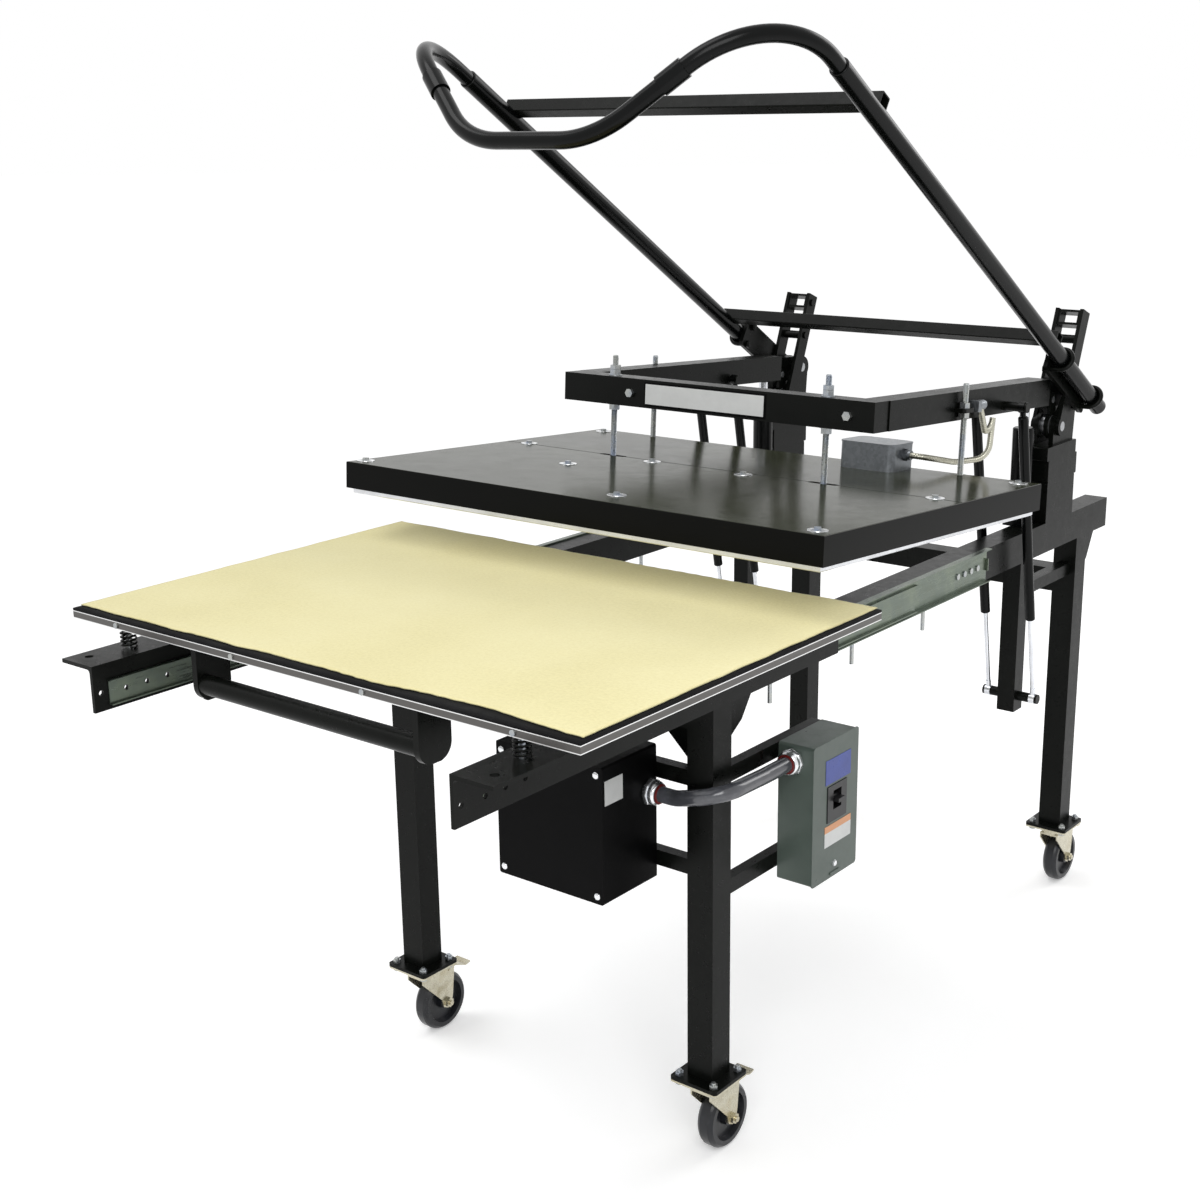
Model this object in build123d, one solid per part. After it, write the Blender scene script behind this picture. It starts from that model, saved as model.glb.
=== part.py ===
from build123d import *
import os
from math import atan2, cos, degrees, hypot, pi, radians, sin, sqrt, tan

os.makedirs("parts", exist_ok=True)

# Large format heat press. Millimetres, +Z up, the front faces -Y.
# Everything is drawn with y = 0 at the table's front edge and is moved by MID_Y when it is saved,
# so that the bottom centre of the whole press is the origin.

# Driving dimensions of the stand
IRON_FRONT = -80.0
RAIL_END = 2050.0
MID_Y = (IRON_FRONT + RAIL_END) / 2
TUBE = 50.8
WALL = 3.2
RAIL_X = 335.6
RAIL_LOW = 825.5
RAIL_TOP = 889.0
FRONT_LEG_Y = 562.4
REAR_LEG_Y = 1925.4
PLATE = 95.0
PLATE_T = 6.35
BOLT_PITCH = 70.0

# Casters
WHEEL_R = 57.5
WHEEL_W = 32.0
CASTER_H = 150.0
TRAIL = 42.0
SHEET = 3.0

# Drawer slides, heights measured from the slide's middle
SLIDE_L = 914.0
SLIDE_H = 66.0
SLIDE_Z = 859.0
SLIDE_FRONT = 551.0
TRAVEL = 604.0
GAP = 0.5

# Table and carriage
TABLE_W = 1067.0
TABLE_D = 753.0
TABLE_Z = 942.3
PLATE_TABLE = 12.7
FOAM_T = 6.0
FELT_T = 3.0
IRON_X = 380.0
IRON = 76.2
IRON_T = 6.35
IRON_TOP = 907.2
IRON_END = 870.0
SPRING_X = 418.0
SPRING_EDGE = 20.0
SPRING_YS = (SPRING_EDGE, TABLE_D - SPRING_EDGE)
SPRING_R = 12.0
WIRE_R = 1.7
SPRING_TURNS = 4.5
GRIP_Y = 22.0
GRIP_Z = 881.0

# Control and disconnect boxes
BOX_X = (24.0, 246.0)
BOX_Y = (400.0, 540.0)
BOX_Z = (500.0, 735.0)
DISC_X = (361.0, 431.0)
DISC_Y = (727.0, 868.0)
DISC_Z = (460.0, 708.0)
SKIN = 2.0
KNOCKOUT_R = 14.0
CONDUIT_R = 13.5

# Head, drawn along u (front to back) and v (up) from the platen's top front edge
TILT = 3.75
HEAD_Y = 602.0
HEAD_Z = 1106.0
COVER_W = 1035.0
COVER_D = 758.0
COVER_H = 49.0
HOT_EDGE = 9.0
HOT_SIDE = 9.5
HOT_W = COVER_W - 2 * HOT_SIDE
HOT_D = COVER_D - 2 * HOT_EDGE
HOT_T = 25.0
HEAD_T = 59.0
FRAME_LOW = 102.0
FRAME_TOP = 156.0
FRAME_X = 325.0
FRAME_FRONT = 428.0
FRAME_END = 1137.0
FRAME_OUT = 348.0
ROD_R = 6.0
FRONT_ROD = (240.0, 450.0)
REAR_ROD = (361.0, 741.0)

# Hinge, eccentric and link
HINGE = (1850.0, 1150.0)
AXLE = (1790.0, 1085.0)
LINK_PIN = (1781.0, 1140.0)
THROW = 9.33
SWING = 28.0
ECC_R = 21.0
SHAFT_R = 10.0
RUN = 0.06
FREE = 0.5
EAR_X = ((308.6, 318.6), (343.4, 353.4))
LINK_X = ((319.2, 325.6), (336.4, 342.8))
LUG_X = (326.0, 336.0)

# Gas springs and support cylinders
GAS_XS = (288.0, 388.0)
GAS_FOOT = (1660.0, 532.0)
GAS_TOP_UV = (933.0, 116.0)
GAS_R = 10.0
GAS_ROD_R = 4.5
GAS_PIN_R = 6.0
GAS_END_Z = 712.0
SUP_X = 318.0
SUP_Y = 1700.0
SUP_FOOT = 965.0
SUP_TOP = 1092.0

# Handle
ARM_X = 388.0
ARM_R = 17.0
ARM_LOW = (1904.0, 1112.0)
ARM_TOP = (828.0, 1786.0)
BAIL_R = 14.0
BAIL_CORNER = (664.0, 1889.0)
BAIL_FRONT = (131.0, 542.0, 1682.0)
BEND_R = 170.0
ROCKER_TOP = (1873.0, 1298.0)
ROCKER_X = ((300.2, 308.2), (353.8, 361.8))
ROCKER_W = 34.0


# Helpers
def block(x0, x1, y0, y1, z0, z1):
    low = Pos((x0 + x1) / 2, (y0 + y1) / 2, (z0 + z1) / 2)
    return low * Box(abs(x1 - x0), abs(y1 - y0), abs(z1 - z0))


def rod_x(x0, x1, y, z, r):
    return Pos((x0 + x1) / 2, y, z) * Rot(0, 90, 0) * Cylinder(r, abs(x1 - x0))


def rod_y(x, y0, y1, z, r):
    return Pos(x, (y0 + y1) / 2, z) * Rot(90, 0, 0) * Cylinder(r, abs(y1 - y0))


def rod_z(x, y, z0, z1, r):
    return Pos(x, y, (z0 + z1) / 2) * Cylinder(r, abs(z1 - z0))


def hex_z(x, y, z0, z1, flat, bore=0.0):
    outline = RegularPolygon(flat / sqrt(3), 6)
    if bore:
        outline = outline - Circle(bore)
    return Pos(x, y, z0) * extrude(outline, z1 - z0)


def hex_x(x0, x1, y, z, flat):
    outline = RegularPolygon(flat / sqrt(3), 6)
    return Pos(x0, y, z) * Rot(0, 90, 0) * extrude(outline, x1 - x0)


def hex_y(x, y0, y1, z, flat):
    outline = RegularPolygon(flat / sqrt(3), 6)
    return Pos(x, y1, z) * Rot(90, 0, 0) * extrude(outline, y1 - y0)


def side_plate(points, x0, x1):
    """A flat plate that stands in the YZ plane between x0 and x1."""
    face = make_face(Polyline(*[(0, y, z) for y, z in points], close=True))
    return Pos(x0, 0, 0) * extrude(face, x1 - x0, dir=(1, 0, 0))


def strap(p, q, r, x0, x1):
    """A plate with round ends of radius r about p and q, given as (y, z)."""
    run = hypot(q[0] - p[0], q[1] - p[1])
    turn = degrees(atan2(q[1] - p[1], q[0] - p[0]))
    middle = ((p[0] + q[0]) / 2, (p[1] + q[1]) / 2)
    face = SlotCenterToCenter(run, 2 * r)
    plate = Rot(0, 90, 0) * Rot(0, 0, 90) * extrude(face, x1 - x0)
    return Pos(x0, middle[0], middle[1]) * Rot(turn, 0, 0) * plate


def both(shape):
    """The right-hand piece and its mirror image."""
    return [shape, mirror(shape, about=Plane.YZ)]


def head_point(u, v):
    c, s = cos(radians(TILT)), sin(radians(TILT))
    return (HEAD_Y + u * c + v * s, HEAD_Z - u * s + v * c)


def head_uv(point):
    c, s = cos(radians(TILT)), sin(radians(TILT))
    dy, dz = point[0] - HEAD_Y, point[1] - HEAD_Z
    return (dy * c - dz * s, dy * s + dz * c)


HEAD = Pos(0, HEAD_Y, HEAD_Z) * Rot(-TILT, 0, 0)


def solids_of(shapes):
    found = []
    for shape in shapes:
        found += list(shape.solids())
    return found


def save(node, shapes):
    if not isinstance(shapes, (list, tuple)):
        shapes = [shapes]
    pieces = [Pos(0, -MID_Y, 0) * piece for piece in solids_of(shapes)]
    whole = pieces[0] if len(pieces) == 1 else Compound(children=pieces)
    export_step(whole, os.path.join("parts", node + ".step"))


# Stand
LEGS = [(x, y) for x in (-RAIL_X, RAIL_X) for y in (FRONT_LEG_Y, REAR_LEG_Y)]
BOLTS = [(a * BOLT_PITCH / 2, b * BOLT_PITCH / 2) for a in (-1, 1) for b in (-1, 1)]


def leg(x, y):
    h = TUBE / 2
    top = RAIL_LOW
    foot = CASTER_H + PLATE_T
    post = block(x - h, x + h, y - h, y + h, foot, top)
    inner = h - WALL
    post -= block(x - inner, x + inner, y - inner, y + inner, foot, top)
    base = block(x - PLATE / 2, x + PLATE / 2, y - PLATE / 2, y + PLATE / 2, CASTER_H, foot)
    base = fillet(base.edges().filter_by(Axis.Z), 6)
    for dx, dy in BOLTS:
        base -= rod_z(x + dx, y + dy, CASTER_H - 1, foot + 1, 4.3)
    base -= rod_z(x, y, CASTER_H - 1, foot + 1, 12)
    return post + base


def legs():
    save("legs", [leg(x, y) for x, y in LEGS])


HANG_YS = (737.0, 1002.0, 1263.0)


def side_rail():
    h = TUBE / 2
    front = FRONT_LEG_Y - h
    rail = block(RAIL_X - h, RAIL_X + h, front, RAIL_END, RAIL_LOW, RAIL_TOP)
    rail -= block(RAIL_X - h + WALL, RAIL_X + h - WALL, front - 1, RAIL_END - WALL,
                  RAIL_LOW + WALL, RAIL_TOP - WALL)
    for y in HANG_YS:
        rail -= rod_z(RAIL_X, y, RAIL_LOW - 1, RAIL_LOW + WALL + 1, 4.3)
    return rail


def side_rails():
    save("side_rails", both(side_rail()))


REAR_TIE_Z = (700.0, 750.8)
FRONT_TIE_Z = (774.7, 825.5)


def tie(y, z0, z1):
    h = TUBE / 2
    end = RAIL_X - h
    bar = block(-end, end, y - h, y + h, z0, z1)
    bar -= block(-end - 1, end + 1, y - h + WALL, y + h - WALL, z0 + WALL, z1 - WALL)
    return bar


def cross_members():
    h = TUBE / 2
    back = FRONT_LEG_Y + h
    pieces = [tie(REAR_LEG_Y, *REAR_TIE_Z), tie(FRONT_LEG_Y, *FRONT_TIE_Z)]
    half = PLATE_T / 2
    front_gusset = side_plate([(back, RAIL_LOW), (back + 105, RAIL_LOW), (back + 62, 765),
                               (back, 724)], RAIL_X - half, RAIL_X + half)
    rear = REAR_LEG_Y + h
    rear_gusset = side_plate([(rear, RAIL_LOW), (rear + 95, RAIL_LOW), (rear + 58, 757),
                              (rear, 715)], RAIL_X - half, RAIL_X + half)
    brace_front = 1660 + 19.05
    brace = block(RAIL_X - 12.7, RAIL_X + 12.7, brace_front, REAR_LEG_Y - h, 743, 768.4)
    brace -= block(RAIL_X - 10.2, RAIL_X + 10.2, brace_front - 1, REAR_LEG_Y, 745.5, 765.9)
    inner = RAIL_X - h
    face = make_face(Polyline((inner, 0, FRONT_TIE_Z[0]), (inner - 95, 0, FRONT_TIE_Z[0]),
                              (inner, 0, 684), close=True))
    corner = Pos(0, FRONT_LEG_Y + 18, 0) * extrude(face, PLATE_T, dir=(0, -1, 0))
    for piece in (front_gusset, rear_gusset, brace, corner):
        pieces += both(piece)
    save("cross_members", pieces)


BAR_H = 27.0
BAR_D = 22.0
BOX_BAR_LOW = 35.0
BOX_BAR_HIGH = 45.0
DISC_BAR_LOW = 37.0
DISC_BAR_HIGH = 14.0


def box_mount_bars():
    pieces = []
    leg_in = RAIL_X - TUBE / 2
    for z in (BOX_Z[0] + BOX_BAR_LOW, BOX_Z[1] - BOX_BAR_HIGH):
        bar = block(BOX_X[0], leg_in, BOX_Y[1], BOX_Y[1] + BAR_D, z - BAR_H / 2, z + BAR_H / 2)
        pieces.append(bar - block(BOX_X[0] - 1, leg_in + 1, BOX_Y[1] + 2.5, BOX_Y[1] + BAR_D - 2.5,
                                  z - BAR_H / 2 + 2.5, z + BAR_H / 2 - 2.5))
    back = FRONT_LEG_Y + TUBE / 2
    for z in (DISC_Z[0] + DISC_BAR_LOW, DISC_Z[1] - DISC_BAR_HIGH):
        bar = block(DISC_X[0] - 20, DISC_X[0], back, DISC_Y[1] - 6, z - BAR_H / 2, z + BAR_H / 2)
        pieces.append(bar - block(DISC_X[0] - 17.5, DISC_X[0] - 2.5, back - 1, DISC_Y[1] - 5,
                                  z - BAR_H / 2 + 2.5, z + BAR_H / 2 - 2.5))
    save("box_mount_bars", pieces)


TOWER_LEVELS = ((RAIL_TOP, 975.0, 1735.0, 1865.0), (975.0, 1020.0, 1735.0, 1872.0),
                (1020.0, 1048.0, 1727.0, 1865.0))
EAR_R = 25.0


def tower():
    x0 = RAIL_X - TUBE / 2
    x1 = RAIL_X + TUBE / 2
    body = None
    for z0, z1, y0, y1 in TOWER_LEVELS:
        level = block(x0 if z0 < 1000 else EAR_X[0][0], x1, y0, y1, z0, z1)
        level = chamfer(level.edges().filter_by(Axis.X), 2.0)
        level += block(x0 if z0 < 1000 else EAR_X[0][0], x1, y0 + 8, y1 - 8, z0, z1)
        body = level if body is None else body + level
    top = TOWER_LEVELS[-1][1]
    for a, b in EAR_X:
        ear = side_plate([(1766, top - 4), (1766, AXLE[1]), (HINGE[0] - EAR_R, HINGE[1]),
                          (HINGE[0] + 22, HINGE[1]), (1862, top - 4)], a, b)
        ear += rod_x(a, b, HINGE[0], HINGE[1], EAR_R)
        ear += rod_x(a, b, AXLE[0], AXLE[1], 24.0)
        body += ear
    for centre in (HINGE, AXLE):
        body -= rod_x(EAR_X[0][0] - 2, EAR_X[1][1] + 2, centre[0], centre[1], SHAFT_R + RUN)
    return body


def towers():
    save("towers", both(tower()))


POST = 38.1


def spring_post():
    h = POST / 2
    y, z = GAS_FOOT
    foot = 500.0
    post = block(RAIL_X - h, RAIL_X + h, y - h, y + h, foot, RAIL_LOW)
    post -= block(RAIL_X - h + WALL, RAIL_X + h - WALL, y - h + WALL, y + h - WALL,
                  foot + WALL, RAIL_LOW + 1)
    pin = rod_x(GAS_XS[0] - 11, GAS_XS[1] + 11, y, z, GAS_PIN_R)
    for x0 in (GAS_XS[0] - 11, GAS_XS[1] + 7):
        pin += rod_x(x0, x0 + 4, y, z, 10.0)
    for x0, x1 in ((GAS_XS[0] + 6.5, RAIL_X - h + 0.1), (RAIL_X + h - 0.1, GAS_XS[1] - 6.5)):
        pin += rod_x(x0, x1, y, z, 10.0)
    return post + pin


def spring_posts():
    save("spring_posts", both(spring_post()))


def slide_channel():
    x = RAIL_X + TUBE / 2
    h = SLIDE_H / 2
    end = SLIDE_FRONT + SLIDE_L
    web = block(x, x + 2, SLIDE_FRONT, end, SLIDE_Z - h, SLIDE_Z + h)
    web = web + block(x, x + 13, SLIDE_FRONT, end, SLIDE_Z - h, SLIDE_Z - h + 2)
    web = web + block(x, x + 13, SLIDE_FRONT, end, SLIDE_Z + h - 2, SLIDE_Z + h)
    web = web + block(x + 2, x + 7, end - 3, end, SLIDE_Z - 12, SLIDE_Z + 12)
    for y in SLIDE_SCREWS:
        web -= rod_x(x - 1, x + 3, y, SLIDE_Z, 3.2)
    return web


SLIDE_SCREWS = (1345.0, 1372.0, 1399.0, 1426.0, 700.0, 640.0)


def slide_channels():
    save("slide_channels", both(slide_channel()))


# Ball strips sit between the nested members; they belong to the mid member.
MID_IN = SLIDE_H / 2 - 7.0


def slide_mid():
    x = RAIL_X + TUBE / 2
    h = MID_IN
    y0 = SLIDE_FRONT - TRAVEL / 2
    y1 = y0 + SLIDE_L
    web = block(x + 8.5, x + 10.5, y0, y1, SLIDE_Z - h, SLIDE_Z + h)
    for s in (-1, 1):
        web = web + block(x + 8.5, x + 16.5, y0, y1, SLIDE_Z + s * h, SLIDE_Z + s * (h - 2))
        outer = SLIDE_H / 2 - 2 - GAP
        web = web + block(x + 6.0, x + 11.0, y0 + 300, y1 - 6, SLIDE_Z + s * h, SLIDE_Z + s * outer)
        inner = RUN_IN + GAP
        web = web + block(x + 12.5, x + 15.5, y0 + 6, y1 - 300, SLIDE_Z + s * (h - 2),
                          SLIDE_Z + s * inner)
    return web


RUN_IN = MID_IN - 5.5


def slide_mid_members():
    save("slide_mid_members", both(slide_mid()))


RUNNER_HOLES = (-20.0, 20.0, 60.0, 400.0, 780.0, 830.0)


def slide_runner():
    x = IRON_X
    h = RUN_IN
    y0 = SLIDE_FRONT - TRAVEL
    y1 = y0 + SLIDE_L
    web = block(x - 2, x, y0, y1, SLIDE_Z - h, SLIDE_Z + h)
    for s in (-1, 1):
        web = web + block(x - 8, x, y0, y1, SLIDE_Z + s * h, SLIDE_Z + s * (h - 2))
    for y in RUNNER_HOLES:
        web -= rod_x(x - 3, x + 1, y, SLIDE_Z, 4.5)
    return web


def slide_runners():
    save("slide_runners", both(slide_runner()))


def hanging_bolt(y):
    x = RAIL_X
    bolt = rod_z(x, y, 768, RAIL_LOW + WALL + 0.2, 4.0)
    bolt += hex_z(x, y, RAIL_LOW + WALL, RAIL_LOW + WALL + 5, 13)
    bolt += hex_z(x, y, RAIL_LOW - 8, RAIL_LOW, 13)
    return bolt


def plate_bolt(x, y):
    low = CASTER_H - SHEET - 0.5
    top = CASTER_H + PLATE_T
    bolt = rod_z(x, y, low - 6, top + 10, 4.0)
    bolt += hex_z(x, y, low - 6, low, 13)
    bolt += hex_z(x, y, top, top + 6.5, 13)
    return bolt


def frame_fasteners():
    pieces = []
    for y in HANG_YS:
        pieces += both(hanging_bolt(y))
    for x, y in LEGS:
        for dx, dy in BOLTS:
            pieces.append(plate_bolt(x + dx, y + dy))
    face = RAIL_X + TUBE / 2 + 2
    for y in SLIDE_SCREWS:
        screw = rod_x(face, face + 2.6, y, SLIDE_Z, 6.0)
        screw += rod_x(face - 2, face, y, SLIDE_Z, 3.0)
        pieces += both(screw)
    save("frame_fasteners", pieces)


# Casters
def caster_plate(x, y):
    top = CASTER_H
    low = CASTER_H - SHEET - 0.5
    half = PLATE / 2
    plate = block(x - half, x + half, y - half, y + half, low, top)
    plate = fillet(plate.edges().filter_by(Axis.Z), 6)
    for dx, dy in BOLTS:
        plate -= rod_z(x + dx, y + dy, low - 1, top + 1, 4.3)
    plate += rod_z(x, y, low - 7, low, 27)
    plate += rod_z(x, y, 121, low, 6)
    plate += rod_z(x, y, 119.5, 125.3, 10)
    return plate


def caster_plates():
    save("caster_plates", [caster_plate(x, y) for x, y in LEGS])


AXLE_Z = WHEEL_R
CHEEK_X = WHEEL_W / 2 + 2
PEDAL = (50.0, 122.0)


def caster_fork(x, y):
    roof = 130.0
    cheek_points = [(-23, roof), (62, roof), (62, 112), (TRAIL + 15, 70), (TRAIL + 11, 50),
                    (TRAIL, 44), (TRAIL - 11, 50), (TRAIL - 15, 66), (-6, 100), (-23, 118)]
    cheek_points = [(y + a, b) for a, b in cheek_points]
    fork = block(x - CHEEK_X - 3, x + CHEEK_X + 3, y - 23, y + 27, roof - 4, roof)
    for x0 in (x - CHEEK_X - 3, x + CHEEK_X):
        cheek = side_plate(cheek_points, x0, x0 + 3)
        cheek -= rod_x(x0 - 1, x0 + 4, y + PEDAL[0], PEDAL[1], 3.06)
        fork += cheek
    fork += rod_z(x, y, roof, 139, 25)
    fork -= rod_z(x, y, roof - 5, 140, 6 + RUN)
    fork += rod_x(x - CHEEK_X - 3, x + CHEEK_X + 3, y + TRAIL, AXLE_Z, 5.0)
    fork += hex_x(x + CHEEK_X + 3, x + CHEEK_X + 10, y + TRAIL, AXLE_Z, 17)
    fork += rod_x(x + CHEEK_X + 10, x + CHEEK_X + 14, y + TRAIL, AXLE_Z, 5.0)
    fork += hex_x(x - CHEEK_X - 9, x - CHEEK_X - 3, y + TRAIL, AXLE_Z, 17)
    return fork


def caster_wheel(x, y):
    hub = WHEEL_W / 2 + 1.4
    half = WHEEL_W / 2
    bore = 5.0 + RUN
    outline = Polyline((0, bore, -hub), (0, 15, -hub), (0, 17, -6), (0, 40, -6), (0, 43, -half),
                       (0, WHEEL_R - 6, -half), (0, WHEEL_R - 2, -half + 4), (0, WHEEL_R, -8),
                       (0, WHEEL_R, 8), (0, WHEEL_R - 2, half - 4), (0, WHEEL_R - 6, half),
                       (0, 43, half), (0, 40, 6), (0, 17, 6), (0, 15, hub), (0, bore, hub), close=True)
    wheel = revolve(make_face(outline), Axis.Z)
    return Pos(x, y + TRAIL, AXLE_Z) * Rot(0, 90, 0) * wheel


def caster_brake(x, y):
    half = CHEEK_X - 0.5
    cy, cz = y + PEDAL[0], PEDAL[1]
    pedal = rod_x(x - CHEEK_X - 4.5, x + CHEEK_X + 4.5, cy, cz, 3.0)
    pedal += rod_x(x - half, x + half, cy, cz, 5.0)
    pedal += side_plate([(cy, cz + 5), (cy + 22, cz + 3), (cy + 50, cz - 8), (cy + 62, cz - 6),
                         (cy + 62, cz - 9), (cy + 50, cz - 11), (cy + 22, cz), (cy, cz + 1.5)],
                        x - half, x + half)
    pedal += side_plate([(cy + 12, cz + 1), (cy + 25, cz - 1), (cy + 22, cz - 10),
                         (cy + 16, cz - 9)], x - 11, x + 11)
    return pedal


CORNERS = (("fl", -RAIL_X, FRONT_LEG_Y), ("fr", RAIL_X, FRONT_LEG_Y),
           ("rl", -RAIL_X, REAR_LEG_Y), ("rr", RAIL_X, REAR_LEG_Y))


def casters():
    for name, x, y in CORNERS:
        save("caster_fork_" + name, caster_fork(x, y))
        save("caster_wheel_" + name, caster_wheel(x, y))
        save("caster_brake_" + name, caster_brake(x, y))


# Table that slides out
def carriage_iron():
    iron = block(IRON_X, IRON_X + IRON_T, IRON_FRONT, IRON_END, IRON_TOP - IRON, IRON_TOP)
    iron = iron + block(IRON_X, IRON_X + IRON, IRON_FRONT, IRON_END, IRON_TOP - IRON_T, IRON_TOP)
    iron = fillet(iron.edges().filter_by(Axis.Y).sort_by_distance(
        (IRON_X + IRON_T, 400, IRON_TOP - IRON_T))[0], 6)
    for y in SPRING_YS:
        iron -= rod_z(SPRING_X, y, IRON_TOP - 10, IRON_TOP + 1, 5.6)
    iron -= rod_z(430, -48, IRON_TOP - 10, IRON_TOP + 1, 7)
    for y in RUNNER_HOLES:
        iron -= rod_x(IRON_X - 1, IRON_X + IRON_T + 1, y, SLIDE_Z, 4.5)
    iron -= rod_x(IRON_X - 1, IRON_X + IRON_T + 1, -66, SLIDE_Z + 2, 4.5)
    return iron


TIE_YS = ((100.0, 150.0), (750.0, 800.0))


def carriage_irons():
    right, left = both(carriage_iron())
    whole = right + left
    for y0, y1 in TIE_YS:
        whole += block(-IRON_X - 1, IRON_X + 1, y0, y1, IRON_TOP - IRON_T, IRON_TOP)
    save("carriage_irons", whole)


def table_plate():
    half = TABLE_W / 2
    plate = block(-half, half, 0, TABLE_D, TABLE_Z, TABLE_Z + PLATE_TABLE)
    for x in (-SPRING_X, SPRING_X):
        for y in SPRING_YS:
            plate -= rod_z(x, y, TABLE_Z - 1, TABLE_Z + PLATE_TABLE + 1, 5.1)
            plate -= rod_z(x, y, TABLE_Z + PLATE_TABLE - 6, TABLE_Z + PLATE_TABLE + 1, 9.1)
    for x in EDGE_SCREWS:
        plate -= rod_y(x, -1, 9, TABLE_Z + 6, 2.6)
    save("table_plate", plate)


EDGE_SCREWS = (-420.0, -140.0, 140.0, 420.0)
FOAM_Z = TABLE_Z + PLATE_TABLE


def foam_pad():
    half = TABLE_W / 2
    save("foam_pad", block(-half, half, 0, TABLE_D, FOAM_Z, FOAM_Z + FOAM_T))


def felt_pad():
    half = TABLE_W / 2 - 5
    low = FOAM_Z + FOAM_T
    save("felt_pad", block(-half, half, 11, TABLE_D - 3, low, low + FELT_T))


def spring_bolt(x, y):
    under = IRON_TOP - IRON_T
    head = FOAM_Z
    bolt = rod_z(x, y, under - 16, head - 5, 5.0)
    bolt += rod_z(x, y, head - 6, head, 9.0)
    bolt += hex_z(x, y, under - 10, under - 0.4, 17)
    bolt += rod_z(x, y, TABLE_Z - 2.6, TABLE_Z, 15.0)
    return bolt


def spring_bolts():
    pieces = [spring_bolt(x, y) for x in (-SPRING_X, SPRING_X) for y in SPRING_YS]
    for x in EDGE_SCREWS:
        pieces.append(rod_y(x, -2.2, 0, TABLE_Z + 6, 4.6) + rod_y(x, 0, 8, TABLE_Z + 6, 2.5))
    save("spring_bolts", pieces)


def helix_point(angle, pitch):
    return Vector(SPRING_R * cos(angle), SPRING_R * sin(angle), pitch * angle / (2 * pi))


def helix_slope(angle, pitch):
    return Vector(-SPRING_R * sin(angle), SPRING_R * cos(angle), pitch / (2 * pi)).normalized()


def two_arcs(p, tp, q, tq):
    """Two arcs that meet smoothly, from p along tp to q along tq."""
    v = q - p
    t = tp + tq
    turn = 2 * (1 - tp.dot(tq))
    d = (-v.dot(t) + sqrt(v.dot(t) ** 2 + turn * v.dot(v))) / turn
    a = p + tp * d
    b = q - tq * d
    meet = (a + b) * 0.5
    along = (b - a).normalized()
    return [TangentArc(p, meet, tangent=tp), TangentArc(meet, q, tangent=along)]


def spring():
    low = WIRE_R + 0.05
    height = TABLE_Z - 2.6 - IRON_TOP - 2 * low
    pitch = height / SPRING_TURNS
    quarters = int(SPRING_TURNS * 4)
    edges = []
    for k in range(quarters):
        a, b = k * pi / 2, (k + 1) * pi / 2
        edges += two_arcs(helix_point(a, pitch), helix_slope(a, pitch),
                          helix_point(b, pitch), helix_slope(b, pitch))
    path = Wire(edges)
    ring = Plane(origin=helix_point(0, pitch), z_dir=helix_slope(0, pitch)) * Circle(WIRE_R)
    gap = pitch * cos(atan2(pitch, 2 * pi * SPRING_R)) - 2 * WIRE_R
    print("least gap between the curls of a table spring:", round(gap, 2), "mm")
    return Pos(0, 0, IRON_TOP + low) * sweep(ring, path=path)


def table_springs():
    one = spring()
    save("table_springs", [Pos(x, y, 0) * one for x in (-SPRING_X, SPRING_X) for y in SPRING_YS])


def pull_handle():
    ends = (231.0, 242.0)
    bar = rod_x(-ends[0] - 1, ends[0] + 1, GRIP_Y, GRIP_Z, 16)
    bar -= rod_x(-ends[0], ends[0], GRIP_Y, GRIP_Z, 13)
    for side in (-1, 1):
        a, b = sorted((side * ends[0], side * ends[1]))
        plate = block(a, b, 5, 70, GRIP_Z, TABLE_Z)
        plate += block(a, b, 22, 50, GRIP_Z - 26, GRIP_Z + 1)
        plate += rod_x(a, b, 31, GRIP_Z, 26)
        plate += rod_x(a, b, 44, GRIP_Z, 26)
        bar += plate
    save("pull_handle", bar)


# Boxes and conduit
def control_box():
    x0, x1 = BOX_X
    y0, y1 = BOX_Y
    z0, z1 = BOX_Z
    box = block(x0, x1, y0, y1, z0, z1)
    box = fillet(box.edges().filter_by(Axis.Y), 4)
    box -= block(x0 + SKIN, x1 - SKIN, y0 - 1, y1 - SKIN, z0 + SKIN, z1 - SKIN)
    box -= rod_x(x1 - 5, x1 + 5, CONDUIT_START[1], CONDUIT_START[2], 10.2)
    save("control_box", box)


COVER_SCREWS = ((BOX_X[0] + 12, BOX_Z[0] + 14), (BOX_X[1] - 12, BOX_Z[0] + 14),
                (BOX_X[0] + 12, BOX_Z[1] - 14), (BOX_X[1] - 12, BOX_Z[1] - 14))


def control_box_cover():
    y = BOX_Y[0]
    cover = block(BOX_X[0], BOX_X[1], y - SKIN, y, *BOX_Z)
    cover = fillet(cover.edges().filter_by(Axis.Y), 4)
    for x, z in COVER_SCREWS:
        cover += rod_y(x, y - SKIN - 2.4, y - SKIN, z, 5.0)
    save("control_box_cover", cover)


CONDUIT_START = (BOX_X[1], 521.0, 658.0)
CONDUIT_END = (390.0, DISC_Y[0], 680.0)
CONN_L = 22.0


def disconnect_box():
    x0, x1 = DISC_X[0], DISC_X[1] - SKIN
    box = block(x0, x1, *DISC_Y, *DISC_Z)
    box = fillet(box.edges().filter_by(Axis.X), 5)
    box -= block(x0 + SKIN, x1 + 1, DISC_Y[0] + SKIN, DISC_Y[1] - SKIN, DISC_Z[0] + SKIN,
                 DISC_Z[1] - SKIN)
    box -= rod_z((x0 + x1) / 2, 800, DISC_Z[0] - 1, DISC_Z[0] + SKIN + 1, KNOCKOUT_R)
    box -= rod_y(CONDUIT_END[0], DISC_Y[0] - 1, DISC_Y[0] + 3, CONDUIT_END[2], 10.2)
    save("disconnect_box", box)


WINDOW_Y = (770.0, 832.0)
WINDOW_Z = (562.0, 628.0)


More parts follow.
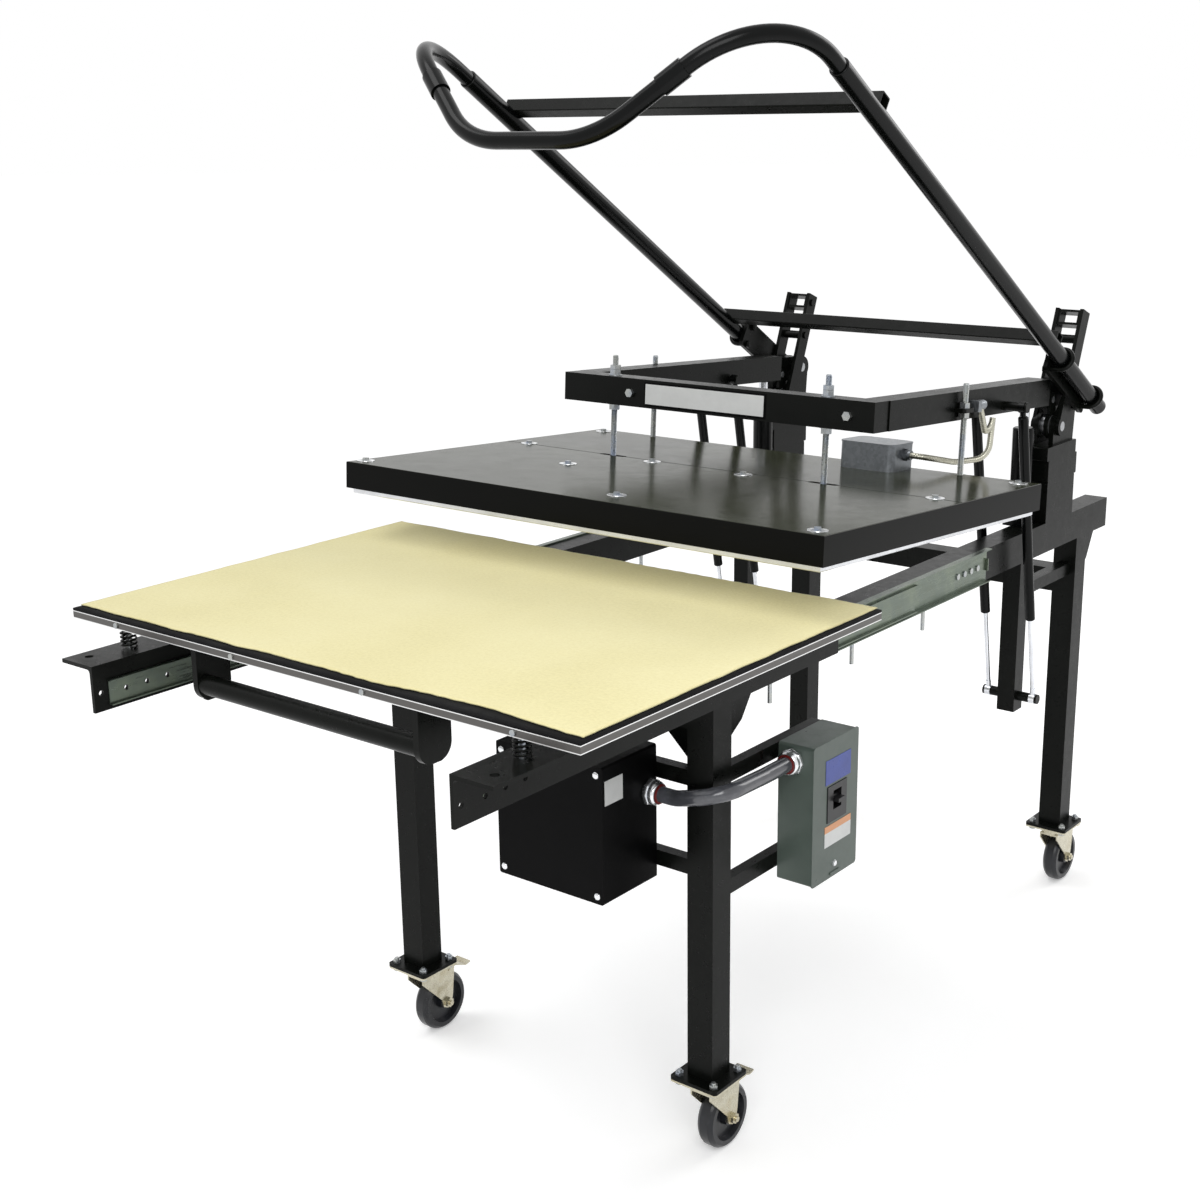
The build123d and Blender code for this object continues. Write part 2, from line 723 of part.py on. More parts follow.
def disconnect_cover():
    x1 = DISC_X[1]
    x0 = x1 - SKIN
    lid = block(x0, x1, DISC_Y[0] - 1.5, DISC_Y[1] + 1.5, DISC_Z[0] - 1.5, DISC_Z[1] + 1.5)
    lid = fillet(lid.edges().filter_by(Axis.X), 6)
    lid -= block(x0 - 1, x1 + 1, *WINDOW_Y, *WINDOW_Z)
    lid += rod_x(x1, x1 + 3, 797, DISC_Z[0] + 22, 5.5)
    lid += block(x1, x1 + 2, 783, 812, DISC_Z[0] + 4, DISC_Z[0] + 8)
    save("disconnect_cover", lid)


TOGGLE = (801.0, 600.0)


def breaker_block():
    x0 = DISC_X[0] + SKIN
    x1 = DISC_X[1] + 1.5
    body = block(x0, x1, WINDOW_Y[0] + 0.5, WINDOW_Y[1] - 0.5, WINDOW_Z[0] + 0.5, WINDOW_Z[1] - 0.5)
    body -= block(x1 - 17, x1 + 1, TOGGLE[0] - 13, TOGGLE[0] + 13, TOGGLE[1] - 17, TOGGLE[1] + 17)
    save("breaker_block", body)


def breaker_toggle():
    x1 = DISC_X[1] + 1.5
    cx = x1 - 10
    knob = Pos(cx, TOGGLE[0], TOGGLE[1]) * Rot(90, 0, 0) * Cylinder(6.0, 25)
    knob += block(cx, x1 + 9, TOGGLE[0] - 10, TOGGLE[0] + 10, TOGGLE[1] - 3.5, TOGGLE[1] + 3.5)
    save("breaker_toggle", knob)


CONDUIT_ROUTE = [(BOX_X[1] + 12, 521.0, 658.0), (300.0, 521.0, 658.0), (396.0, 508.0, 688.0),
                 (390.0, 640.0, 680.0), (390.0, DISC_Y[0] - 12, 680.0)]


def conduit():
    path = FilletPolyline(*CONDUIT_ROUTE, radius=[60, 42, 60])
    start = path @ 0
    along = path % 0
    ring = Plane(origin=start, z_dir=along) * (Circle(CONDUIT_R) - Circle(11.0))
    save("conduit", sweep(ring, path=path))


def connector(length):
    """A conduit connector along +Z from the box wall, with its locknut inside the box."""
    body = hex_z(0, 0, 0, 8, 36)
    body = body & Cylinder(19.5, 40)
    body += rod_z(0, 0, 8, length, 17.5)
    body += rod_z(0, 0, -9, 0, 10.0)
    body -= rod_z(0, 0, 10, length + 1, CONDUIT_R + 0.05)
    body -= rod_z(0, 0, -10, 11, 7.5)
    return body


def conduit_connectors():
    x0, y0, z0 = CONDUIT_START
    first = Pos(x0, y0, z0) * Rot(0, 90, 0) * connector(CONN_L)
    x1, y1, z1 = CONDUIT_END
    second = Pos(x1, y1, z1) * Rot(90, 0, 0) * connector(CONN_L)
    save("conduit_connectors", [first, second])


def support_cylinder():
    base = RAIL_TOP
    body = block(SUP_X - 25, SUP_X + 25, SUP_Y - 25, SUP_Y + 25, base, SUP_FOOT - 4)
    body += rod_z(SUP_X, SUP_Y, SUP_FOOT - 4, SUP_FOOT, 28.5)
    body += rod_z(SUP_X, SUP_Y, SUP_FOOT, SUP_TOP, 22)
    body = fillet(body.edges().filter_by(GeomType.CIRCLE).sort_by(Axis.Z)[-1], 4)
    body -= rod_z(SUP_X, SUP_Y, SUP_FOOT + 10, SUP_TOP + 1, SUP_ROD_R + RUN)
    return body


SUP_ROD_R = 10.0


def support_cylinders():
    save("support_cylinders", both(support_cylinder()))


def support_rod():
    """The rod's top is level with the side bar's underside, less a small gap."""
    under = HEAD_Z - (SUP_Y - HEAD_Y) * tan(radians(TILT)) + FRAME_LOW / cos(radians(TILT))
    top = under - FREE - SUP_ROD_R * tan(radians(TILT))
    rod = rod_z(SUP_X, SUP_Y, SUP_FOOT + 10 + 14, top, SUP_ROD_R)
    rod = fillet(rod.edges().filter_by(GeomType.CIRCLE).sort_by(Axis.Z)[-1], 2)
    return rod


def support_rods():
    save("support_rods", both(support_rod()))


# Head
HINGE_UV = head_uv(HINGE)
LINK_UV = head_uv(LINK_PIN)


def side_bar_box(shrink):
    low, top = FRAME_LOW + shrink, FRAME_TOP - shrink
    x0, x1 = FRAME_X - TUBE / 2 + shrink, FRAME_X + TUBE / 2 - shrink
    u0 = FRAME_FRONT + TUBE - (3 * shrink if shrink else 0.0) - 1
    bar = block(x0, x1, u0, FRAME_END - shrink, low, top)
    return bar


def rod_clip():
    """The outside clip on a side bar that holds a rear rod."""
    x, u = REAR_ROD
    out = FRAME_X + TUBE / 2
    clip = block(out, x + 11, u - 20, u + 20, 118, 126)
    clip = fillet(clip.edges().filter_by(Axis.Z).sort_by(Axis.X)[-2:], 6)
    return clip - rod_z(x, u, 110, 130, ROD_R + FREE)


def press_frame():
    outer = block(-FRAME_OUT, FRAME_OUT, FRAME_FRONT, FRAME_FRONT + TUBE, FRAME_LOW, FRAME_TOP)
    inner = block(-FRAME_OUT + WALL, FRAME_OUT - WALL, FRAME_FRONT + WALL,
                  FRAME_FRONT + TUBE - WALL, FRAME_LOW + WALL, FRAME_TOP - WALL)
    for bar in both(side_bar_box(0.0)):
        outer += bar
    for hollow in both(side_bar_box(WALL)):
        inner += hollow
    frame = outer - inner
    for s in (-1, 1):
        frame -= rod_z(s * FRONT_ROD[0], FRONT_ROD[1], FRAME_LOW - 1, FRAME_TOP + 1, ROD_R + FREE)
        for u in (520.0, 1080.0):
            frame -= rod_z(s * FRAME_X, u, FRAME_LOW - 1, FRAME_LOW + WALL + 1, 6.0)
    lug = side_plate([(FRAME_END - 2, FRAME_LOW - 8), (LINK_UV[0] + 26, FRAME_LOW - 8),
                      (HINGE_UV[0] + 8, HINGE_UV[1] - 23), (HINGE_UV[0] + 8, HINGE_UV[1] + 23),
                      (FRAME_END - 2, FRAME_TOP - 5)], *LUG_X)
    lug += rod_x(*LUG_X, *HINGE_UV, 24.5)
    lug -= rod_x(LUG_X[0] - 1, LUG_X[1] + 1, *HINGE_UV, SHAFT_R + 0.02)
    lug -= rod_x(LUG_X[0] - 1, LUG_X[1] + 1, *LINK_UV, LINK_PIN_R + 0.02)
    clip = rod_clip()
    pin = rod_x(GAS_XS[0] - 11, GAS_XS[1] + 11, *GAS_TOP_UV, GAS_PIN_R)
    for x0 in (GAS_XS[0] - 11, GAS_XS[1] + 7):
        pin += rod_x(x0, x0 + 4, *GAS_TOP_UV, 10.0)
    out = FRAME_X + TUBE / 2
    pin += rod_x(out - 0.5, GAS_XS[1] - 6.5, *GAS_TOP_UV, 9.0)
    for piece in (lug, clip, pin):
        for side in both(piece):
            frame += side
    save("press_frame", HEAD * frame)


LINK_PIN_R = 7.0


def hinge_pins():
    shaft = rod_x(EAR_X[0][0], EAR_X[1][1], *HINGE, SHAFT_R)
    pin = rod_x(LINK_X[0][0], LINK_X[1][1], *LINK_PIN, LINK_PIN_R)
    save("hinge_pins", both(shaft) + both(pin))


FOLD = 1.5


def platen_cover():
    half = COVER_W / 2
    cover = block(-half, half, 0, COVER_D, -COVER_H, 0)
    cover = fillet(cover.edges().group_by(Axis.Z)[-1], 2.0)
    cover -= block(-half + FOLD, half - FOLD, FOLD, COVER_D - FOLD, -COVER_H - 1, -FOLD)
    for s in (-1, 1):
        slot = Pos(s * FRONT_ROD[0], FRONT_ROD[1], -3) * extrude(SlotOverall(62, 15), 5)
        cover -= slot
        cover -= rod_z(s * REAR_ROD[0], REAR_ROD[1], -3, 1, ROD_R + 0.7)
    for x, u in COVER_POINTS:
        cover -= rod_z(x, u, -3, 1, 2.7)
    save("platen_cover", HEAD * cover)


SCREW_IN = 33.0
SCREW_SIDE = COVER_W / 2 - 32.5
COVER_POINTS = ((-223.0, 291.0), (-133.0, 435.0), (81.0, 429.0), (69.0, 67.0),
                (SCREW_SIDE, SCREW_IN), (SCREW_SIDE - 24, 454.0), (-SCREW_SIDE - 15, SCREW_IN),
                (24 - SCREW_SIDE, 454.0), (-SCREW_SIDE, COVER_D - SCREW_IN + 3),
                (SCREW_SIDE, COVER_D - SCREW_IN + 3))


def heat_plate():
    half = HOT_W / 2
    u0 = (COVER_D - HOT_D) / 2
    plate = block(-half, half, u0, u0 + HOT_D, -HEAD_T, -HEAD_T + HOT_T)
    plate = chamfer(plate.edges().group_by(Axis.Z)[0], 1.5)
    save("heat_plate", HEAD * plate)


HEATER_R = 4.0
HEATER_SIDE = 38.0
HEATER_US = ((40.0, 90.0), (150.0, 200.0), (260.0, 310.0), (370.0, 420.0), (500.0, 550.0),
             (620.0, 670.0))


def heater(u0, u1):
    end = HOT_W / 2 - HEATER_SIDE
    v = -HEAD_T + HOT_T + HEATER_R
    path = FilletPolyline((-end, u0, v), (end, u0, v), (end, u1, v), (-end, u1, v), radius=20)
    ring = Plane(origin=(-end, u0, v), z_dir=(1, 0, 0)) * Circle(HEATER_R)
    return sweep(ring, path=path)


def heater_elements():
    save("heater_elements", [HEAD * heater(a, b) for a, b in HEATER_US])


def insulation_blanket():
    half = HOT_W / 2
    low = -HEAD_T + HOT_T + 2 * HEATER_R
    blanket = block(-half, half, HOT_EDGE, COVER_D - HOT_EDGE, low, -FOLD - 4)
    for s in (-1, 1):
        for x, u in (FRONT_ROD, REAR_ROD):
            blanket -= rod_z(s * x, u, low - 1, 0, 14.0)
    for x, u in COVER_POINTS:
        blanket -= rod_z(x, u, low - 1, 0, 4.0)
    save("insulation_blanket", HEAD * blanket)


def threaded_rod(x, u, top):
    rod = rod_z(x, u, -HEAD_T + HOT_T, top, ROD_R)
    return chamfer(rod.edges().filter_by(GeomType.CIRCLE).sort_by(Axis.Z)[-1], 1.5)


FRONT_ROD_TOP = 195.0
REAR_ROD_TOP = 172.0


def pressure_rods():
    rods = both(threaded_rod(*FRONT_ROD, FRONT_ROD_TOP)) + both(threaded_rod(*REAR_ROD, REAR_ROD_TOP))
    save("pressure_rods", [HEAD * rod for rod in rods])


def nut(x, u, v0, v1, flat=19.0):
    body = hex_z(x, u, v0, v1, flat, ROD_R + 0.02)
    return body


def washer(x, u, v0, v1, r):
    return Pos(x, u, v0) * extrude(Circle(r) - Circle(ROD_R + 0.1), v1 - v0)


NAME_BOLTS = (-185.0, 295.0)


def head_fasteners():
    pieces = []
    for x, u in (FRONT_ROD,):
        for a, b in ((FRAME_TOP + 2, FRAME_TOP + 12), (FRAME_TOP + 12.5, FRAME_TOP + 20),
                     (FRAME_LOW - 12, FRAME_LOW - 2)):
            pieces += both(nut(x, u, a, b))
        pieces += both(washer(x, u, FRAME_TOP, FRAME_TOP + 2, 13))
        pieces += both(washer(x, u, FRAME_LOW - 2, FRAME_LOW, 13))
    x, u = REAR_ROD
    for a, b in ((126.0, 136.0), (108.0, 118.0)):
        pieces += both(nut(x, u, a, b, 17.0))
    for x, u in COVER_POINTS:
        screw = rod_z(x, u, 0, 1.4, 10.0)
        screw += Pos(x, u, 1.4) * extrude(RegularPolygon(6.2, 6), 4.2)
        screw += rod_z(x, u, -HEAD_T + HOT_T, 0, 2.5)
        pieces.append(screw)
    for x in NAME_BOLTS:
        pieces.append(hex_y(x, FRAME_FRONT - 6.5, FRAME_FRONT, 128, 15))
    save("head_fasteners", [HEAD * piece for piece in pieces])


JBOX_X = (142.0, 258.0)
JBOX_U = (662.0, 752.0)
JBOX_H = 52.0


def junction_box():
    box = block(*JBOX_X, *JBOX_U, 0, JBOX_H)
    box = fillet(box.edges().filter_by(Axis.Z), 16)
    inner = block(JBOX_X[0] + SKIN, JBOX_X[1] - SKIN, JBOX_U[0] + SKIN, JBOX_U[1] - SKIN,
                  -1, JBOX_H - SKIN)
    inner = fillet(inner.edges().filter_by(Axis.Z), 14)
    box -= inner
    lid = block(JBOX_X[0] - 1, JBOX_X[1] + 1, JBOX_U[0] - 1, JBOX_U[1] + 1, JBOX_H - 3, JBOX_H)
    lid = fillet(lid.edges().filter_by(Axis.Z), 17)
    lid -= block(JBOX_X[0] + 4, JBOX_X[1] - 4, JBOX_U[0] + 4, JBOX_U[1] - 4, JBOX_H - 4,
                 JBOX_H - 1.5)
    box += lid
    box -= rod_x(JBOX_X[1] - 4, JBOX_X[1] + 1, LEAD_U, LEAD_V, 7.0)
    gland = rod_x(JBOX_X[1] - 5, JBOX_X[1] + 14, LEAD_U, LEAD_V, 6.9)
    gland += hex_x(JBOX_X[1], JBOX_X[1] + 7, LEAD_U, LEAD_V, 20)
    gland += rod_x(JBOX_X[1] + 7, JBOX_X[1] + 14, LEAD_U, LEAD_V, 9.0)
    gland -= rod_x(JBOX_X[1] - 6, JBOX_X[1] + 4, LEAD_U, LEAD_V, 4.0)
    gland -= rod_x(JBOX_X[1] + 4, JBOX_X[1] + 15, LEAD_U, LEAD_V, LEAD_R + 0.05)
    out = FRAME_X + TUBE / 2
    x, u, v = LEAD_ROUTE[-1]
    foot = block(out, x + 9, u - 22, u - 8, v - 12, v + 9)
    foot += rod_y(x, u - 10, u + 12, v, 9.5)
    foot -= rod_y(x, u, u + 13, v, LEAD_R + 0.05)
    save("junction_box", [HEAD * box, HEAD * gland, HEAD * foot])


LEAD_R = 6.0
LEAD_U = 712.0
LEAD_V = 30.0
LEAD_ROUTE = [(JBOX_X[1] + 4, LEAD_U, LEAD_V), (292.0, LEAD_U, LEAD_V), (318.0, 800.0, 14.0),
              (362.0, 852.0, 22.0), (362.0, 862.0, 128.0), (362.0, 800.0, 128.0)]


def armoured_lead():
    path = FilletPolyline(*LEAD_ROUTE, radius=[22, 35, 32, 26])
    ring = Plane(origin=path @ 0, z_dir=path % 0) * Circle(LEAD_R)
    save("armoured_lead", HEAD * sweep(ring, path=path))


# Links between the eccentrics and the head
START = SWING / 2
ECC = (AXLE[0] - THROW * cos(radians(START)), AXLE[1] + THROW * sin(radians(START)))


def eccentric_link(x0, x1):
    plate = strap(ECC, LINK_PIN, 14.0, x0, x1)
    plate += rod_x(x0, x1, *ECC, ECC_R + FREE + 7)
    plate -= rod_x(x0 - 1, x1 + 1, *ECC, ECC_R + FREE)
    plate -= rod_x(x0 - 1, x1 + 1, *LINK_PIN, LINK_PIN_R + RUN)
    return plate


def eccentric_links():
    pieces = []
    for x0, x1 in LINK_X:
        pieces += both(eccentric_link(x0, x1))
    save("eccentric_links", pieces)


def eccentric_shaft():
    shaft = rod_x(ROCKER_X[0][0], ROCKER_X[1][1], *AXLE, SHAFT_R)
    return shaft + rod_x(LINK_X[0][0], LINK_X[1][1], *ECC, ECC_R)


def eccentric_shafts():
    save("eccentric_shafts", both(eccentric_shaft()))


# Gas springs
GAS_TOP = head_point(*GAS_TOP_UV)
GAS_LEN = hypot(GAS_TOP[0] - GAS_FOOT[0], GAS_TOP[1] - GAS_FOOT[1])
GAS_TURN = degrees(atan2(GAS_TOP[1] - GAS_FOOT[1], GAS_TOP[0] - GAS_FOOT[0])) - 90
GAS_LEAN = cos(radians(GAS_TURN))
GAS_END = (GAS_END_Z - GAS_FOOT[1]) / GAS_LEAN


def gas_place(x):
    """From the foot pin, +Z runs up the gas spring."""
    return Pos(x, *GAS_FOOT) * Rot(GAS_TURN, 0, 0)


def gas_rod(x):
    rod = rod_x(-6, 6, 0, 0, 11)
    rod += rod_z(0, 0, 8, 24, 5.5)
    rod += rod_z(0, 0, 20, GAS_END + 150, GAS_ROD_R)
    rod += rod_z(0, 0, GAS_END + 140, GAS_END + 152, 7.44)
    rod -= rod_x(-7, 7, 0, 0, GAS_PIN_R + RUN)
    return gas_place(x) * rod


def gas_cylinder(x):
    top = GAS_LEN - 20
    gland = GAS_ROD_R + RUN
    low = GAS_END
    outline = Polyline((gland, 0, low), (GAS_R - 1.2, 0, low), (GAS_R, 0, low + 1.2),
                       (GAS_R, 0, top - 1.2), (GAS_R - 1.2, 0, top), (5.5, 0, top),
                       (5.5, 0, GAS_LEN - 8), (0, 0, GAS_LEN - 8), (0, 0, top - 8),
                       (7.5, 0, top - 8), (7.5, 0, low + 12), (gland, 0, low + 12), close=True)
    body = revolve(make_face(outline), Axis.Z)
    body += rod_x(-6, 6, 0, GAS_LEN, 11)
    body -= rod_x(-7, 7, 0, GAS_LEN, GAS_PIN_R + FREE)
    return gas_place(x) * body


def gas_springs():
    rods = []
    cylinders = []
    for x in GAS_XS:
        rods += both(gas_rod(x))
        cylinders += both(gas_cylinder(x))
    save("gas_rods", rods)
    save("gas_cylinders", cylinders)


# Handle
ARM_L = hypot(ARM_TOP[0] - ARM_LOW[0], ARM_TOP[1] - ARM_LOW[1])
ARM_TURN = degrees(atan2(ARM_TOP[1] - ARM_LOW[1], ARM_TOP[0] - ARM_LOW[0])) - 90
BAIL_IN = 45.0


def arm_place(x):
    """From the arm's lower end, +Z runs up the arm."""
    return Pos(x, *ARM_LOW) * Rot(ARM_TURN, 0, 0)


def handle_arm():
    arm = rod_z(0, 0, 0, ARM_L, ARM_R)
    arm = fillet(arm.edges().filter_by(GeomType.CIRCLE), 2)
    arm -= rod_z(0, 0, 4, ARM_L + 1, BAIL_R + 0.05)
    return arm_place(ARM_X) * arm


def handle_arms():
    save("handle_arms", both(handle_arm()))


def bail_points(side):
    return [(side * ARM_X, *BAIL_CORNER), (side * BAIL_FRONT[0], *BAIL_FRONT[1:])]


def bail_end(side):
    c = (ARM_TOP[0] - ARM_LOW[0]) / ARM_L
    s = (ARM_TOP[1] - ARM_LOW[1]) / ARM_L
    return (side * ARM_X, ARM_TOP[0] - BAIL_IN * c, ARM_TOP[1] - BAIL_IN * s)


def handle_bail():
    left = [bail_end(-1)] + bail_points(-1)
    right = [bail_end(1)] + bail_points(1)
    path = FilletPolyline(*(left + right[::-1]), radius=BEND_R)
    ring = Plane(origin=path @ 0, z_dir=path % 0) * (Circle(BAIL_R) - Circle(BAIL_R - 2.6))
    save("handle_bail", sweep(ring, path=path))


SLEEVE_SPAN = (0.37, 0.5)


def grip_sleeve():
    corner, front = [Vector(*point) for point in bail_points(1)]
    along = corner - front
    plane = Plane(origin=front + along * SLEEVE_SPAN[0], z_dir=along)
    length = along.length * (SLEEVE_SPAN[1] - SLEEVE_SPAN[0])
    sleeve = plane * extrude(Circle(BAIL_R + 3) - Circle(BAIL_R + 0.05), length)
    save("grip_sleeve", both(sleeve))


BAR = 25.4
BAR_PLACES = ((941.0, 21.0), (1657.0, 16.5))
BAR_END = 399.0


def crossbar(y, offset):
    along = (ARM_LOW[0] - y) / cos(radians(ARM_TURN + 90)) * -1
    bar = block(-BAR_END, BAR_END, -offset - BAR / 2, -offset + BAR / 2,
                along - BAR / 2, along + BAR / 2)
    bar = fillet(bar.edges().filter_by(Axis.X), 2)
    core = BAR / 2 - 2.5
    bar -= block(-BAR_END - 1, BAR_END + 1, -offset - core, -offset + core,
                 along - core, along + core)
    for side in (-1, 1):
        bar -= rod_z(side * ARM_X, 0, along - 40, along + 40, ARM_R)
    return Pos(0, *ARM_LOW) * Rot(ARM_TURN, 0, 0) * mirror(bar, about=Plane.XZ)


def handle_crossbars():
    save("handle_crossbars", [crossbar(y, offset) for y, offset in BAR_PLACES])


ROCKER_L = hypot(ROCKER_TOP[0] - AXLE[0], ROCKER_TOP[1] - AXLE[1])
ROCKER_TURN = degrees(atan2(ROCKER_TOP[1] - AXLE[1], ROCKER_TOP[0] - AXLE[0])) - 90


def rocker():
    """From the axle, +Z runs up the rocker."""
    half = ROCKER_W / 2
    body = None
    for x0, x1 in ROCKER_X:
        plate = block(x0, x1, -half, half, 0, ROCKER_L + 16)
        plate += rod_x(x0, x1, 0, 0, 20)
        plate -= rod_x(x0 - 1, x1 + 1, 0, 0, SHAFT_R + 0.02)
        body = plate if body is None else body + plate
    x0, x1 = ROCKER_X[0][1] - 0.5, ROCKER_X[1][0] + 0.5
    top = block(x0, x1, -half + 2, half - 2, ROCKER_L - 18, ROCKER_L + 14)
    top -= block(x0 + 4, x1 - 4, -half, half, ROCKER_L - 13, ROCKER_L + 9)
    body += top
    for z in (150.0, 184.0):
        body += rod_x(x0, x1, 0, z, 9)
    for z in (ROCKER_L - 2, 184.0, 150.0):
        body += rod_x(ROCKER_X[0][0] - 4, ROCKER_X[0][0] + 1, 0, z, 8)
    return Pos(0, *AXLE) * Rot(ROCKER_TURN, 0, 0) * body


def rockers():
    save("rockers", both(rocker()))


def u_bolt(z):
    """A square-shouldered U-bolt that clamps the arm's tube to the strap plate, along the arm."""
    wire = 5.0
    reach = ARM_R + wire
    x_in = STRAP_X[0] - 7.6
    legs = [(x_in - ARM_X, -reach, z), (0, -reach, z), (reach, 0, z), (0, reach, z),
            (x_in - ARM_X, reach, z)]
    line = Wire([Line(legs[0], legs[1]), ThreePointArc(legs[1], legs[2], legs[3]),
                 Line(legs[3], legs[4])])
    ring = Plane(origin=legs[0], z_dir=(1, 0, 0)) * Circle(wire)
    bolt = sweep(ring, path=line)
    for y in (-reach, reach):
        bolt += hex_x(STRAP_X[0] - ARM_X - 6.4, STRAP_X[0] - ARM_X, y, z, 15)
    return bolt


STRAP_X = (361.8, 371.0)
STRAP_Z = (30.0, 250.0)
U_BOLT_ZS = (STRAP_Z[0] + 20, STRAP_Z[1] - 20)


def handle_fittings():
    half = 31.0
    plate = block(STRAP_X[0] - ARM_X, STRAP_X[1] - ARM_X, -half, half, *STRAP_Z)
    plate = fillet(plate.edges().filter_by(Axis.X), 8)
    for z in U_BOLT_ZS:
        for y in (-ARM_R - 5, ARM_R + 5):
            plate -= rod_x(STRAP_X[0] - ARM_X - 1, STRAP_X[1] - ARM_X + 1, y, z, 5.1)
    pieces = both(arm_place(ARM_X) * plate)
    for z in U_BOLT_ZS:
        pieces += both(arm_place(ARM_X) * u_bolt(z))
    save("handle_fittings", pieces)


for build in (legs, side_rails, cross_members, box_mount_bars, towers, spring_posts, slide_channels,
              slide_mid_members, slide_runners, frame_fasteners, caster_plates, casters,
              carriage_irons, table_plate, foam_pad, felt_pad, spring_bolts, table_springs,
              pull_handle, control_box, control_box_cover, disconnect_box, disconnect_cover,
              breaker_block, breaker_toggle, conduit, conduit_connectors, support_cylinders,
              support_rods, press_frame, hinge_pins, platen_cover, heat_plate, heater_elements,
              insulation_blanket, pressure_rods, head_fasteners, junction_box, armoured_lead,
              eccentric_links, eccentric_shafts, gas_springs, handle_arms, handle_bail,
              grip_sleeve, handle_crossbars, rockers, handle_fittings):
    build()
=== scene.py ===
from math import cos, pi, radians, sin, tan

import bpy
from mathutils import Matrix, Vector, noise


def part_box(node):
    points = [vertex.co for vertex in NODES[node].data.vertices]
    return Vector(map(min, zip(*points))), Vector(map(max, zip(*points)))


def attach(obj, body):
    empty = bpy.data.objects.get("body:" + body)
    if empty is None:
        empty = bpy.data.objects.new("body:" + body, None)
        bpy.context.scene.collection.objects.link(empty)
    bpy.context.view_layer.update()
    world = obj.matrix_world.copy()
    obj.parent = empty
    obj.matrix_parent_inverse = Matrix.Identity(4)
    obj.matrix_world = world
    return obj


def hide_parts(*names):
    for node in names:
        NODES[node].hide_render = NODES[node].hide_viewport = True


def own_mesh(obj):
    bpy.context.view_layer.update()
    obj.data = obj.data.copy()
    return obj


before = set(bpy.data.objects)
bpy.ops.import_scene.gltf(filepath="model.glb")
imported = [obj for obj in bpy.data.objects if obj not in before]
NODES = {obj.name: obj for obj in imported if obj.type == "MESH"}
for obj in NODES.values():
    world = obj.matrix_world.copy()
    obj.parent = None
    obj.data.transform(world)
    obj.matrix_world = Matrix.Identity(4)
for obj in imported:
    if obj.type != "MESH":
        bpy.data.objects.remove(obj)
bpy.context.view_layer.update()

# Camera, from the perspective of the photograph: metres, radians and millimetres
CAMERA_AT = Vector((1.84258, -2.56565, 1.71696))
YAW = 0.6784
PITCH = 0.2717
ROLL = -0.0150
LENS = 52.086
SENSOR = 36.0
SIGHT = 60.0

# The table's front edge along y, and the head's own frame: its tilt and its origin, in metres
FRONT = -0.985
TILT = radians(3.75)
HEAD_AT = Vector((0.0, FRONT + 0.602, 1.106))


def set_camera():
    forward = Vector((-sin(YAW) * cos(PITCH), cos(YAW) * cos(PITCH), -sin(PITCH)))
    right = forward.cross(Vector((0, 0, 1))).normalized()
    up = right.cross(forward)
    tilted_right = right * cos(ROLL) + up * sin(ROLL)
    tilted_up = up * cos(ROLL) - right * sin(ROLL)
    turn = Matrix((tilted_right, tilted_up, -forward)).transposed()
    data = bpy.data.cameras.new("camera")
    data.lens = LENS
    data.sensor_width = SENSOR
    data.clip_end = SIGHT
    camera = bpy.data.objects.new("camera", data)
    camera.matrix_world = Matrix.Translation(CAMERA_AT) @ turn.to_4x4()
    bpy.context.scene.collection.objects.link(camera)
    bpy.context.scene.camera = camera


set_camera()


# Material helpers
def new_material(name):
    """A material, its node tree and its shader."""
    material = bpy.data.materials.new(name)
    material.use_nodes = True
    return material, material.node_tree, material.node_tree.nodes["Principled BSDF"]


def link(tree, a, b):
    tree.links.new(a, b)


def coordinates(tree, stretch=(1, 1, 1)):
    """Object coordinates, squeezed or stretched along each axis."""
    place = tree.nodes.new("ShaderNodeTexCoord")
    mapping = tree.nodes.new("ShaderNodeMapping")
    mapping.inputs["Scale"].default_value = stretch
    link(tree, place.outputs["Object"], mapping.inputs["Vector"])
    return mapping.outputs["Vector"]


def noise_node(tree, vector, scale, detail=4.0, rough=0.55):
    node = tree.nodes.new("ShaderNodeTexNoise")
    node.inputs["Scale"].default_value = scale
    node.inputs["Detail"].default_value = detail
    node.inputs["Roughness"].default_value = rough
    link(tree, vector, node.inputs["Vector"])
    return node.outputs["Fac"]


def colour_ramp(tree, fac, stops):
    ramp = tree.nodes.new("ShaderNodeValToRGB")
    while len(ramp.color_ramp.elements) < len(stops):
        ramp.color_ramp.elements.new(0.5)
    for element, (at, colour) in zip(ramp.color_ramp.elements, stops):
        element.position = at
        element.color = (*colour, 1)
    link(tree, fac, ramp.inputs["Fac"])
    return ramp.outputs["Color"]


def spread(tree, fac, low, high):
    """A noise's middle range, spread from low to high."""
    node = tree.nodes.new("ShaderNodeMapRange")
    node.inputs["From Min"].default_value = 0.3
    node.inputs["From Max"].default_value = 0.7
    node.inputs["To Min"].default_value = low
    node.inputs["To Max"].default_value = high
    link(tree, fac, node.inputs["Value"])
    return node.outputs["Result"]


def bump(tree, shader, height, strength, distance, normal=None):
    node = tree.nodes.new("ShaderNodeBump")
    node.inputs["Strength"].default_value = strength
    node.inputs["Distance"].default_value = distance
    link(tree, height, node.inputs["Height"])
    if normal is not None:
        link(tree, normal, node.inputs["Normal"])
    link(tree, node.outputs["Normal"], shader.inputs["Normal"])
    return node.outputs["Normal"]


def scaled(colour, k):
    return tuple(min(1.0, c * k) for c in colour)


